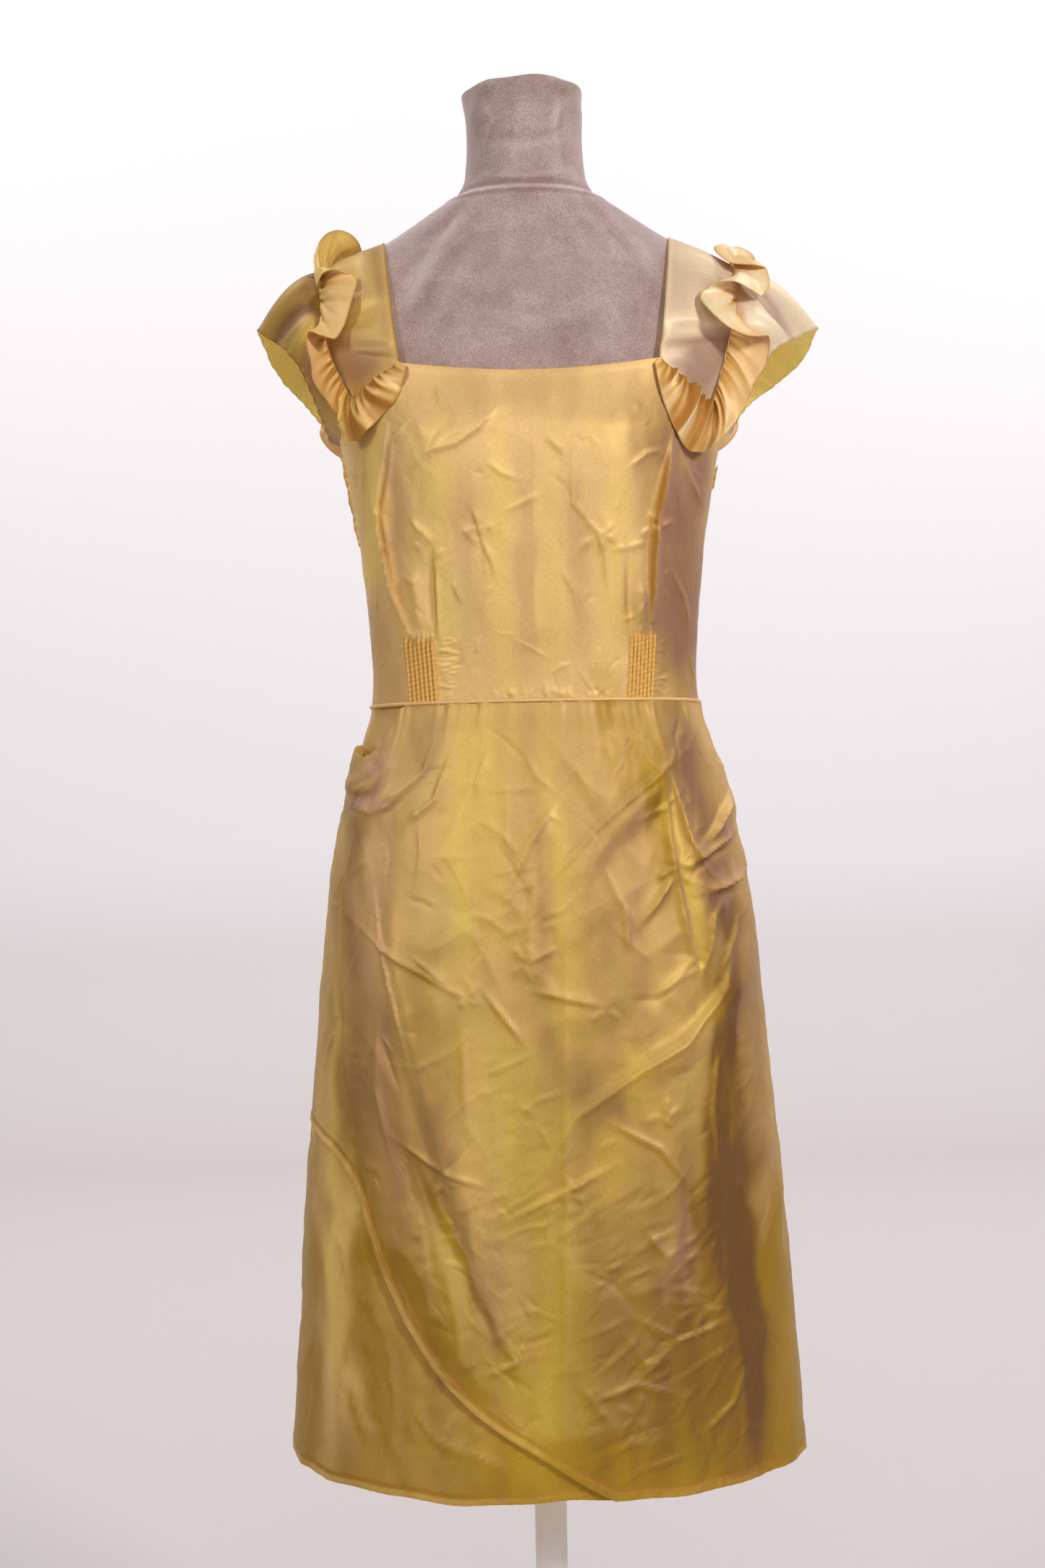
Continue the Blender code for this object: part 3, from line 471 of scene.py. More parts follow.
def besideSeam(base):
    # 1 at the side seam, 0 away from it
    half = dressCurve.at(base[..., 2])[0]
    return ramp((np.abs(base[..., 0]) / half - 0.8) / 0.17)


def crumpled(x, z, seed, fields):
    # Facets with crisp edges between them, stronger in some places than in others. Rows of size,
    # height, lean in degrees and stretch along the lean.
    total = np.zeros(np.broadcast(x, z).shape)
    for k, (size, height, lean, stretch) in enumerate(fields):
        angle = math.radians(lean)
        across = (x * math.cos(angle) - z * math.sin(angle)) / size
        along = (x * math.sin(angle) + z * math.cos(angle)) / (size * stretch)
        size = facets["swaySize"]
        sway = facets["sway"] * latticeNoise(along * size, across * size, seed + 10 * k + 5)
        edges = facets["edge"] - np.abs(latticeNoise(across + sway, along, seed + 10 * k))
        area, shift = facets["area"], facets["areaShift"] * k
        where = ramp(0.45 + 1.5 * latticeNoise(x / area + shift, z / area, seed + 10 * k + 7))
        total += height * edges * (0.2 + 0.8 * where)
    return total


def scattered(seed, count, xSpan, zSpan, lengths, heights, leans, halves):
    # Small creases strewn unevenly: each has its own length, height, lean and slight bend
    pick = random.Random(seed)
    made = []
    for _ in range(count):
        x, z = pick.uniform(*xSpan), pick.uniform(*zSpan)
        length = pick.uniform(*lengths) * pick.uniform(0.5, 1)
        lean = math.radians(pick.choice(leans) + pick.uniform(-16, 16))
        side, rise = math.sin(lean) * length / 2, math.cos(lean) * length / 2
        bend = pick.uniform(-0.12, 0.12) * length
        height = pick.uniform(*heights) * pick.choice((1, 1, -1))
        middle = (x + bend * math.cos(lean), z - bend * math.sin(lean))
        points = ((x - side, z - rise), middle, (x + side, z + rise))
        made.append((height, pick.uniform(*halves), pick.uniform(-0.6, 0.6), points))
    return made


def strewn(fields):
    return [crease for field in fields for crease in scattered(*field)]


def starred(seed, stars):
    # Crumples where short creases run out from one place: rows of x, z, arms, length and height
    pick = random.Random(seed)
    made = []
    for x, z, arms, length, height in stars:
        first = pick.uniform(0, 360)
        for arm in range(arms):
            way = math.radians(first + 360 * arm / arms + pick.uniform(-25, 25))
            run = length * pick.uniform(0.5, 1)
            end = (x + run * math.sin(way), z + run * math.cos(way))
            middle = (x + run * 0.5 * math.sin(way + 0.15), z + run * 0.5 * math.cos(way + 0.15))
            made.append((height * pick.uniform(0.6, 1), pick.uniform(2.8, 4.2), 0.4, ((x, z), middle, end)))
    return made


def patched(x, z, patches, edgeSway=0.0):
    # Patches with uneven edges: rows of x, z, half wide, half tall, lean and amount. In the shot tables
    # they are gold (above 0) and mauve, in the shades tables painted shade (above 0) and painted highlights.
    total = np.zeros(np.broadcast(x, z).shape)
    wide, tall = patchEdges["fine"]
    sway = edgeSway * latticeNoise(x / wide, z / tall, 71)
    wide, tall = patchEdges["broad"]
    sway = sway + 1.5 * edgeSway * latticeNoise(x / wide, z / tall, 72)
    for x0, z0, wide, tall, lean, amount in patches:
        across = (x - x0 - lean * (z - z0) + sway) / wide
        along = (z - z0 + 2 * sway) / tall
        total += amount * np.exp(-(np.abs(across) ** 3) - along**4)
    return total


# Cloth meshes

def outward(grid, ring):
    if ring:
        along = np.roll(grid, -1, axis=1) - np.roll(grid, 1, axis=1)
    else:
        along = np.gradient(grid, axis=1)
    return unit(np.cross(along, np.gradient(grid, axis=0)))


def runs(grid, axis):
    steps = np.linalg.norm(np.diff(grid, axis=axis), axis=-1)
    shape = list(steps.shape)
    shape[axis] = 1
    return np.concatenate([np.zeros(shape), np.cumsum(steps, axis=axis)], axis=axis)


def backingFor(base, out, lift, wall, step):
    # The inner face of a sheet, in fewer points: the lowest lift round each place keeps it behind
    padded = np.pad(lift, step, mode="edge")
    rows, columns = lift.shape
    shifts = range(0, 2 * step + 1)
    low = np.min([padded[i : i + rows, j : j + columns] for i in shifts for j in shifts], axis=0)
    low = low[::step, ::step] - wall
    return base[::step, ::step] + out[::step, ::step] * low[..., None]


def addQuads(corners):
    return np.stack(corners, axis=-1).reshape(-1, 4)


cloth = {
    "toneLimit": 1.13,  # a tone above 1 goes on past the deep stops
    "patchSway": 5.0,  # how unevenly the edges of the patches run
    "smoothAngle": 62,
}


def makeCloth(name, grid, looks, ring=False, flip=False, wall=0.6, backing=None, shot=0.5, tone=0.5, warm=0):
    # One sheet of cloth from a grid of points in millimetres, with a thin wall on its inner side. Shot
    # is its place between mauve and yellow, tone between pale and deep, which mostly carries painted shade
    # and painted highlights, and the last value how far it is browned, at stitches and edges and as painted
    # shade in creases and pleats.
    rows, columns = grid.shape[:2]
    if ring:
        grid = np.concatenate([grid, grid[:, :1]], axis=1)
    u, v = runs(grid, 1) * millimetre, runs(grid, 0) * millimetre
    u = u - u[:, columns // 2 : columns // 2 + 1]
    mesh = bpy.data.meshes.new(name)
    index = np.arange(rows * columns).reshape(rows, columns)
    right = np.roll(index, -1, axis=1) if ring else index[:, 1:]
    left = index if ring else index[:, :-1]
    faces = addQuads([left[:-1], right[:-1], right[1:], left[1:]])
    last = columns if ring else columns - 1
    uv = np.stack([u, v], axis=-1)
    flat = [uv[d : rows - 1 + d, a : last + a].reshape(-1, 2) for d, a in ((0, 0), (0, 1), (1, 1), (1, 0))]
    corners = np.stack(flat, axis=1)
    if flip:
        faces, corners = faces[:, ::-1], corners[:, ::-1]
    points = grid[:, :columns].reshape(-1, 3)
    values = {"shot": shot, "tone": tone, "warm": warm}
    for label, given in values.items():
        values[label] = np.clip(np.zeros((rows, columns)) + given, 0, cloth["toneLimit"]).ravel()
    loops, totals, flats = faces.ravel(), np.full(len(faces), 4), corners.reshape(-1, 2)
    looked = np.zeros(len(faces), int)
    if backing is not None:
        # the inner face, and a rim of faces that join every few outer edges to one inner edge
        step = (rows - 1) // (backing.shape[0] - 1)
        inner = len(points) + np.arange(backing.shape[0] * backing.shape[1]).reshape(backing.shape[:2])
        faces = addQuads([inner[:-1, :-1], inner[1:, :-1], inner[1:, 1:], inner[:-1, 1:]])
        rims = []
        for outerEdge, innerEdge in (
            (index[0, ::-1], inner[0, ::-1]),
            (index[-1], inner[-1]),
            (index[:, 0], inner[:, 0]),
            (index[::-1, -1], inner[::-1, -1]),
        ):
            for k in range(len(innerEdge) - 1):
                rims.append([*outerEdge[k * step : (k + 1) * step + 1], innerEdge[k + 1], innerEdge[k]])
        rims = np.array(rims)
        if flip:
            faces, rims = faces[:, ::-1], rims[:, ::-1]
        points = np.concatenate([points, backing.reshape(-1, 3)])
        loops = np.concatenate([loops, faces.ravel(), rims.ravel()])
        totals = np.concatenate([totals, np.full(len(faces), 4), np.full(len(rims), rims.shape[1])])
        looked = np.concatenate([looked, np.full(len(faces), len(looks) > 1), np.zeros(len(rims), int)])
        allUv = np.concatenate([uv.reshape(-1, 2), uv[::step, ::step].reshape(-1, 2)])
        flats = np.concatenate([flats, allUv[faces.ravel()], allUv[rims.ravel()]])
        for label, given in values.items():
            values[label] = np.concatenate([given, given.reshape(rows, columns)[::step, ::step].ravel()])
    mesh.vertices.add(len(points))
    mesh.vertices.foreach_set("co", (points * millimetre).ravel())
    mesh.loops.add(len(loops))
    mesh.loops.foreach_set("vertex_index", loops.astype(np.int32))
    mesh.polygons.add(len(totals))
    mesh.polygons.foreach_set("loop_start", (np.cumsum(totals) - totals).astype(np.int32))
    mesh.polygons.foreach_set("loop_total", totals.astype(np.int32))
    mesh.uv_layers.new(name="flat")
    mesh.uv_layers["flat"].data.foreach_set("uv", flats.ravel())
    for label, given in values.items():
        layer = mesh.attributes.new(label, "FLOAT", "POINT")
        layer.data.foreach_set("value", given.astype(np.float32))
    for look in looks:
        mesh.materials.append(look)
    mesh.polygons.foreach_set("material_index", looked.astype(np.int32))
    mesh.update(calc_edges=True)
    mesh.validate()
    piece = bpy.data.objects.new(name, mesh)
    bpy.context.collection.objects.link(piece)
    deselectAll()
    piece.select_set(True)
    bpy.context.view_layer.objects.active = piece
    if wall and backing is None:
        shell = piece.modifiers.new("wall", "SOLIDIFY")
        shell.thickness, shell.offset = wall * millimetre, -1
        shell.material_offset = 1 if len(looks) > 1 else 0
        bpy.ops.object.modifier_apply(modifier="wall")
    bpy.ops.object.shade_smooth_by_angle(angle=math.radians(cloth["smoothAngle"]))
    return piece


def closeUp():
    # The selected piece is joined where it meets itself, its holes are filled and its faces point outwards
    bpy.ops.object.mode_set(mode="EDIT")
    bpy.ops.mesh.select_all(action="SELECT")
    bpy.ops.mesh.remove_doubles(threshold=0.00001)
    bpy.ops.mesh.fill_holes(sides=0)
    bpy.ops.mesh.select_all(action="SELECT")
    bpy.ops.mesh.normals_make_consistent(inside=False)
    bpy.ops.object.mode_set(mode="OBJECT")


def dressUp(piece, slot, *nodes):
    # The piece takes the place of the solid and moves with the body
    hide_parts(*nodes)
    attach(piece, "root")


flatCloth = {}


def makeSheet(name, node, slot, grid, looks, **how):
    piece = makeCloth(name, grid, looks, **how)
    dressUp(piece, slot, node)
    flatCloth[name] = piece


def makeBackedSheet(name, node, base, out, lift, settings, **how):
    # A grid lifted along its way out, with a coarser inner face
    backing = backingFor(base, out, lift, settings["wall"], settings["backingStep"])
    makeSheet(name, node, "taffeta", base + out * lift[..., None], clothLooks, backing=backing, **how)


def paintedShadeDownwards(z, tone):
    # Painted shade: tone that goes from one value to a deeper one further down
    top, more, start, over = tone
    return top + more * ramp((start - z) / over)


def columnGaps(grid):
    # Distances between neighbouring points of a row
    return np.maximum(np.linalg.norm(np.gradient(grid, axis=1), axis=-1), 0.3)


def paintedCreaseShading(lift, grid):
    # Painted shade and highlight on thin creases: the side turned away from the upper left of the wearer is
    # painted darker, the side turned towards it paler
    height = np.gradient(grid[..., 2], axis=0)
    height = np.where(np.abs(height) < 0.2, 0.2 * np.sign(height + 1e-9), height)
    lit = -0.6 * np.gradient(lift, axis=1) / columnGaps(grid) * np.sign(grid[0, -1, 0] - grid[0, 0, 0])
    lit = lit - 0.8 * np.gradient(lift, axis=0) / height
    return -taffeta["paintedCreaseShade"] * np.tanh(1.8 * lit)


def shotFrom(grid, lift, patches, seed):
    # Painted sheen: gold where the cloth faces the wearer's right, mauve where it turns away; and soft
    # patches, partly the cloth's shot colour and partly painted sheen
    x, z = grid[..., 0], grid[..., 2]
    slope = np.gradient(lift, axis=1) / columnGaps(grid)
    pick = random.Random(seed)
    streaks = np.zeros_like(lift)
    for wave in taffeta["streakWaves"]:
        phase, drift = pick.uniform(0, 6), pick.uniform(-1, 1)
        streaks += taffeta["streak"] * np.sin(x * 2 * math.pi / wave + phase + 0.01 * z * drift)
    gold = taffeta["patchShot"] * patched(x, z, patches, cloth["patchSway"])
    return 0.5 + gold + taffeta["paintedSlopeSheen"] * np.tanh(slope * 2.6) + streaks


# Finishes

taffeta = {
    # shot cloth: stops from mauve to yellow, in a pale and a deep tone
    "pale": (
        (0, (0.54, 0.29, 0.19)),
        (0.25, (0.7, 0.43, 0.185)),
        (0.5, (0.84, 0.545, 0.23)),
        (0.8, (0.9, 0.6, 0.21)),
        (1, (0.93, 0.66, 0.2)),
    ),
    "deep": (
        (0, (0.22, 0.105, 0.045)),
        (0.25, (0.32, 0.17, 0.04)),
        (0.5, (0.42, 0.24, 0.042)),
        (0.8, (0.5, 0.31, 0.045)),
        (1, (0.56, 0.37, 0.05)),
    ),
    # the inner side, painted brighter as light that comes through the thin cloth
    "inner": ((0, (0.9, 0.69, 0.2)), (1, (0.95, 0.79, 0.26))),
    "innerDeep": ((0, (0.78, 0.58, 0.16)), (1, (0.84, 0.67, 0.19))),
    "gathered": ((0, (0.72, 0.42, 0.2)), (0.5, (0.9, 0.59, 0.25)), (1, (0.86, 0.64, 0.2))),
    "gatheredDeep": ((0, (0.42, 0.18, 0.05)), (0.5, (0.55, 0.28, 0.07)), (1, (0.55, 0.4, 0.08))),
    # pale stops for the shoulder on the wearer's left: painted sheen, whiter where the silk catches the light
    "sheenPainted": (
        (0, (0.52, 0.35, 0.26)),
        (0.3, (0.7, 0.52, 0.39)),
        (0.6, (0.86, 0.67, 0.46)),
        (1, (0.95, 0.79, 0.56)),
    ),
    # lighter stops for the ruffle on the wearer's left: painted highlight
    "gatheredHighlightPainted": ((0, (0.76, 0.48, 0.27)), (0.5, (0.9, 0.6, 0.28)), (1, (0.96, 0.81, 0.54))),
    "sheenPaintedDeep": ((0, (0.3, 0.16, 0.07)), (1, (0.5, 0.32, 0.12))),
    # light and deep brown, for stitches and edges and for painted shade
    "warm": ((0.86, 0.5, 0.13, 1), (0.45, 0.19, 0.035, 1)),
    "metallic": 0.15,
    "specular": 0.22,
    "specularTint": (1.0, 0.86, 0.62, 1),
    "roughness": (0.42, 0.52),
    "slubs": (260, 1500),
    "slubTone": (0.86, 1.1),
    "cloudSize": 15,
    "cloudShot": 0.14,
    "streakWaves": (37, 61, 23, 96),
    "streak": 0.035,
    "paintedSlopeSheen": 0.26,
    "patchShot": 0.7,
    # strength of the painted crease shade and highlight
    "paintedCreaseShade": 0.48,
    "glow": 0.22,  # light that comes through the thin cloth, seen on its inner side
    "crinkle": 20,
    # strength and depth in metres
    "crinkleBump": (0.26, 0.0012),
    "threadBump": (0.22, 0.0002),
}


def taffetaLook(name, pale, deep, crinkle=1.0, glow=0.0):
    made, shader = newLook(name)
    flat = addNode(made, "UVMap", uv_map="flat").outputs["UV"]
    shot, tone, warm = carried(made, "shot"), carried(made, "tone"), carried(made, "warm")
    # threads of uneven thickness, across and along
    threads = []
    for wide, tall in (taffeta["slubs"], taffeta["slubs"][::-1]):
        stretch = addNode(made, "Mapping", {"Vector": flat, "Scale": (wide, tall, 1)})
        threads.append(noise(made, stretch.outputs["Vector"], 1, 2))
    weave = worked(made, *threads)
    # the shot colour in its pale and its deep tone, then browned at stitches and edges and as painted shade
    # in folds and pleats
    cloud = noise(made, flat, taffeta["cloudSize"], 4)
    cloud = spread(made, cloud, (0, 1), (-taffeta["cloudShot"], taffeta["cloudShot"]))
    play = worked(made, shot, cloud)
    color = mixed(made, tone, shaded(made, play, pale), shaded(made, play, deep), clamp=False)
    color = mixed(made, warm, color, mixed(made, tone, *taffeta["warm"]))
    level = spread(made, weave, (0.6, 1.4), taffeta["slubTone"])
    color = addNode(made, "VectorMath", {0: color, "Scale": level}, operation="SCALE").outputs["Vector"]
    # crinkles finer than the modelled creases, then the threads
    crinkles = noise(made, flat, taffeta["crinkle"], 2.5, 0.42, "RIDGED_MULTIFRACTAL")
    strength, depth = taffeta["crinkleBump"]
    surface = bumped(made, crinkles, strength * crinkle, depth)
    surface = bumped(made, weave, *taffeta["threadBump"], surface)
    setInputs(made, shader, {
        "Base Color": color,
        "Emission Color": color,
        "Emission Strength": glow,
        "Roughness": spread(made, weave, (0.6, 1.4), taffeta["roughness"]),
        "Normal": surface,
        "Metallic": taffeta["metallic"],
        "Specular IOR Level": taffeta["specular"],
        "Specular Tint": taffeta["specularTint"],
    })
    return made


velvet = {
    # stops from the deep pile to the rubbed one
    "stops": ((0.12, (0.27, 0.165, 0.145)), (0.45, (0.58, 0.43, 0.4))),
    # size of the noise, detail and roughness
    "crush": (26, 6, 0.68),
    "pile": (900, 2),
    # strength and depth in metres
    "bump": (0.5, 0.001),
    "roughness": 0.7,
    "sheen": 0.9,
    "sheenTint": (0.95, 0.82, 0.82, 1),
}


def velvetLook():
    made, shader = newLook("crushedVelvet")
    where = addNode(made, "TexCoord").outputs["Object"]
    crush, pile = noise(made, where, *velvet["crush"]), noise(made, where, *velvet["pile"])
    nap = worked(made, crush, pile, "MULTIPLY")
    # painted shade that the points carry deepens the velvet's colour
    velvetPaintedShade = worked(made, carried(made, "tone"), 0.5, "SUBTRACT")
    setInputs(made, shader, {
        "Base Color": shaded(made, worked(made, nap, velvetPaintedShade, "SUBTRACT"), velvet["stops"]),
        "Normal": bumped(made, nap, *velvet["bump"]),
        "Roughness": velvet["roughness"],
        "Sheen Weight": velvet["sheen"],
        "Sheen Tint": velvet["sheenTint"],
    })
    return made


stand = {
    "nodes": ("stand_post", "stand_base"),
    "wear": (40, 5),  # size of the noise and detail
    "stops": ((0.3, (0.86, 0.84, 0.86)), (0.7, (0.92, 0.9, 0.92))),
    "roughness": (0.35, 0.55),
}


def standLook():
    made, shader = newLook("standEnamel")
    wear = noise(made, addNode(made, "TexCoord").outputs["Object"], *stand["wear"])
    gloss = spread(made, wear, (0, 1), stand["roughness"])
    setInputs(made, shader, {"Base Color": shaded(made, wear, stand["stops"]), "Roughness": gloss})
    return made


bpy.context.scene.view_settings.view_transform = "Standard"
makeCamera()
makeStudio()
makeLamps()
print("camera, floor and lights made")
outerTaffeta = taffetaLook("shotTaffeta", taffeta["pale"], taffeta["deep"])
innerTaffeta = taffetaLook("shotTaffetaInside", taffeta["inner"], taffeta["innerDeep"], glow=taffeta["glow"])
gatheredTaffeta = taffetaLook("shotTaffetaGathered", taffeta["gathered"], taffeta["gatheredDeep"], 0.7)
highlightPaintedGathered = taffetaLook("shotTaffetaGatheredHighlight", taffeta["gatheredHighlightPainted"], taffeta["gatheredDeep"], 0.7)
clothLooks = (outerTaffeta, innerTaffeta)
sheenPaintedTaffeta = taffetaLook("shotTaffetaSheenPainted", taffeta["sheenPainted"], taffeta["sheenPaintedDeep"])
# the yoke and sleeve on the wearer's left take the painted-sheen finish
shoulderLooks = {1: (sheenPaintedTaffeta, innerTaffeta), -1: clothLooks}
# the ruffle on the wearer's left takes a lighter copy, with painted highlights
ruffleLooks = {1: (highlightPaintedGathered, highlightPaintedGathered), -1: (gatheredTaffeta, gatheredTaffeta)}
velvetCover = velvetLook()
enamel = standLook()
print("finishes made")


# Dress form

formCover = {
    "columns": 200,
    "rowStep": 3.6,
    "neckRowStep": 1.6,
    "neckRowsBelow": 16,  # how far below the seam the rows stay close together
    "topHigh": 5,  # the rounded top edge
    "underDeep": 4,
    "neckSeamZ": 1391,
    "neckSeamRaise": 1.8,
    # velvet pulled from the neck towards the straps, and crumpled round the neck
    "creases": (
        (-3, 5, 0, ((-44, 1386), (-74, 1352), (-98, 1312))),
        (3, 6, 0, ((-36, 1384), (-62, 1340), (-92, 1282))),
        (-3, 5, 0, ((46, 1386), (76, 1354), (98, 1322))),
        (3.4, 6, 0.3, ((40, 1384), (70, 1344), (98, 1300))),
        (-1.2, 6, 0, ((20, 1384), (44, 1330), (84, 1262))),
        (1.2, 6, 0, ((-20, 1384), (-48, 1318), (-80, 1256))),
        (0.9, 7, 0, ((-60, 1290), (0, 1276), (60, 1290))),
        (1.1, 4, 0, ((-34, 1462), (-24, 1446), (-30, 1424))),
        (-1, 4, 0, ((-12, 1470), (-8, 1440), (-10, 1412))),
        (1.2, 4, 0, ((30, 1468), (24, 1440), (30, 1410))),
        (-1.1, 5, 0, ((-40, 1436), (0, 1428), (38, 1438))),
        (0.9, 4, 0, ((-30, 1404), (2, 1398), (34, 1406))), (1, 5, 0, ((-34, 1478), (-20, 1470))),
        (1.2, 5, 0, ((18, 1478), (34, 1468))),
    ),
}


def makeForm():
    turns = 360 * (np.arange(formCover["columns"]) + 0.5) / formCover["columns"]
    low, high = formSections[0][0], formSections[-1][0]
    edge, underDeep = high - formCover["topHigh"], formCover["underDeep"]
    neckZ = formCover["neckSeamZ"] - formCover["neckRowsBelow"]
    heights = np.linspace(edge, neckZ, int((edge - neckZ) / formCover["neckRowStep"]))
    below = np.linspace(neckZ, low + underDeep, int((neckZ - low) / formCover["rowStep"]))[1:]
    heights = np.concatenate([heights, below])
    grid = withBust(aroundBody(formCurve, turns[None, :], heights[:, None]))
    out = unit(grid * np.array([1, 1, 0]))
    x, z = grid[..., 0], grid[..., 2]
    seamZ = formCover["neckSeamZ"] + 2 * np.cos(np.radians(turns))[None, :]
    lift = creaseLift(x, z, formCover["creases"])
    lift += formCover["neckSeamRaise"] * bell(z - seamZ, 1.9)
    lift -= 0.8 * bell(z - seamZ - 4.5, 2.2)
    # Painted shade and highlight on the velvet's creases, and at the neck seam: paler on its ridge, darker in
    # the groove above it
    tone = 0.5 + 0.45 * paintedCreaseShading(lift, grid) + 0.2 * bell(z - seamZ - 3.5, 1.8)
    tone = tone - 0.12 * bell(z - seamZ, 1.8)
    knobs = 0.8 * np.sin(np.radians(turns) * 3 + 0.6) + 0.7 * np.sin(np.radians(turns) * 7)
    lift += knobs[None, :] * ramp((z - high + 26) / 18)
    grid = grid + out * lift[..., None]
    caps, under = [], []
    for share in np.linspace(0.97, 0.03, 12):
        row = grid[0] * np.array([share, share, 1])
        dome = math.sqrt(max(1 - ((share - 0.5) / 0.5) ** 2, 0))
        row[:, 2] = edge + formCover["topHigh"] * dome * 0.9 + knobs * 0.5 * share
        caps.append(row)
    for share in np.linspace(0.97, 0.03, 8):
        under.append(grid[-1] * np.array([share, share, 1]) - np.array([0, 0, underDeep]))
    grid = np.concatenate([np.array(caps)[::-1], grid, np.array(under)])
    tone = np.pad(tone, ((len(caps), len(under)), (0, 0)), constant_values=0.5)
    piece = makeCloth("formVelvet", grid, (velvetCover,), ring=True, wall=0, tone=tone)
    closeUp()
    dressUp(piece, "velvet", "form_torso")
    for node in stand["nodes"]:
        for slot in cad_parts[node].material_slots:
            slot.material = enamel


makeForm()
print("dress form made")


# Yokes, sleeves and ruffles

yokes = {
    "columns": 26,
    "rowStep": 0.1,
    # tone on each side: painted light, paler on the wearer's left, deeper on the wearer's right
    "tone": {1: 0.25, -1: 0.45},
    "hem": {"wide": 5.0, "raise": 0.45},
    # gold and mauve patches, which also hold painted sheen bands
    # share across, share along, half wide, half tall, lean, amount
    "patches": {
        1: (
            (0.62, 0.12, 0.55, 0.095, 4, -0.75), (0.4, 0.235, 0.45, 0.03, 4, 0.3),
            (0.78, 0.32, 0.2, 0.05, 0, -0.55), (0.2, 0.33, 0.16, 0.09, 0, -0.12),
            (0.3, 0.45, 0.5, 0.05, 0, 0.25), (0.3, 0.75, 0.5, 0.15, 0, -0.2),
        ),
        -1: (
            (0.6, 0.12, 0.5, 0.09, 0, -0.5), (0.45, 0.27, 0.4, 0.04, -4, 0.35),
            (0.75, 0.38, 0.2, 0.05, 0, -0.3), (0.5, 0.42, 0.12, 0.05, 0, 0.3),
            (0.1, 0.36, 0.1, 0.16, 0, -0.35), (0.4, 0.7, 0.4, 0.2, 0, -0.2),
        ),
    },
    # share across, share along, half wide, half tall, lean, height in mm
    "folds": {
        1: (
            (0.45, 0.21, 0.6, 0.025, 5, 3.2), (0.75, 0.31, 0.25, 0.035, 0, -2.2),
            (0.5, 0.39, 0.35, 0.025, -3, 2.2), (0.35, 0.14, 0.2, 0.04, 0, -1.2),
        ),
        -1: (
            (0.3, 0.185, 0.3, 0.014, -4, 2.2), (0.55, 0.27, 0.35, 0.03, -4, 2.6),
            (0.3, 0.4, 0.12, 0.08, 0, -1.8), (0.65, 0.35, 0.25, 0.02, 3, 1.8),
        ),
    },
}


def yokeGrid(side, columns, step):
    places = np.arange(0, yokeEnd + 1e-9, step)
    innerX, innerOver, outerX, outerOver = yokeCurves[side].at(places)
    across = np.linspace(0, 1, columns)[None, :]
    x = innerX[:, None] * (1 - across) + outerX[:, None] * across
    over = innerOver[:, None] * (1 - across) + outerOver[:, None] * across
    points, _ = overShoulder(x, over)
    return points * np.array([side, 1, 1])


def turnedEdge(distance, hem, stitch=True):
    # A narrow turned hem: a raised band along an edge, with a line of stitches at its inner side
    band = hem["raise"] * ramp((hem["wide"] + 0.8 - distance) / 1.4)
    groove = 0.2 * bell(distance - hem["wide"] + 1.2, 0.9) if stitch else 0
    return band - groove


def makeYokes():
    for name, side, node in (("yokeLeft", 1, "yoke_left"), ("yokeRight", -1, "yoke_right")):
        grid = yokeGrid(side, yokes["columns"], yokes["rowStep"])
        rows, columns = grid.shape[:2]
        along, across = np.meshgrid(np.linspace(0, 1, rows), np.linspace(0, 1, columns), indexing="ij")
        out = outward(grid, False) * -side
        edge = runs(grid, 1)
        lift = turnedEdge(edge, yokes["hem"])
        lift = lift * ramp((along - 0.16) / 0.02) * ramp((0.84 - along) / 0.02)
        lift += 0.9 * np.sin(along * 21 + across * 3 + side) * np.sin(across * math.pi)
        folds = patched(across, along, yokes["folds"][side]) * np.sin(across * math.pi) ** 0.5
        grid = grid + out * (lift + folds)[..., None]
        shot = 0.5 + patched(across, along, yokes["patches"][side]) * 0.8
        shot += 0.2 * bell(edge - 2.5, 2.2)
        tone = yokes["tone"][side] + 0.6 * ramp((1.2 - edge) / 0.6) + 0.8 * paintedCreaseShading(folds, grid)
        makeSheet(name, node, "taffeta", grid, shoulderLooks[side], flip=side < 0, shot=shot, tone=tone)


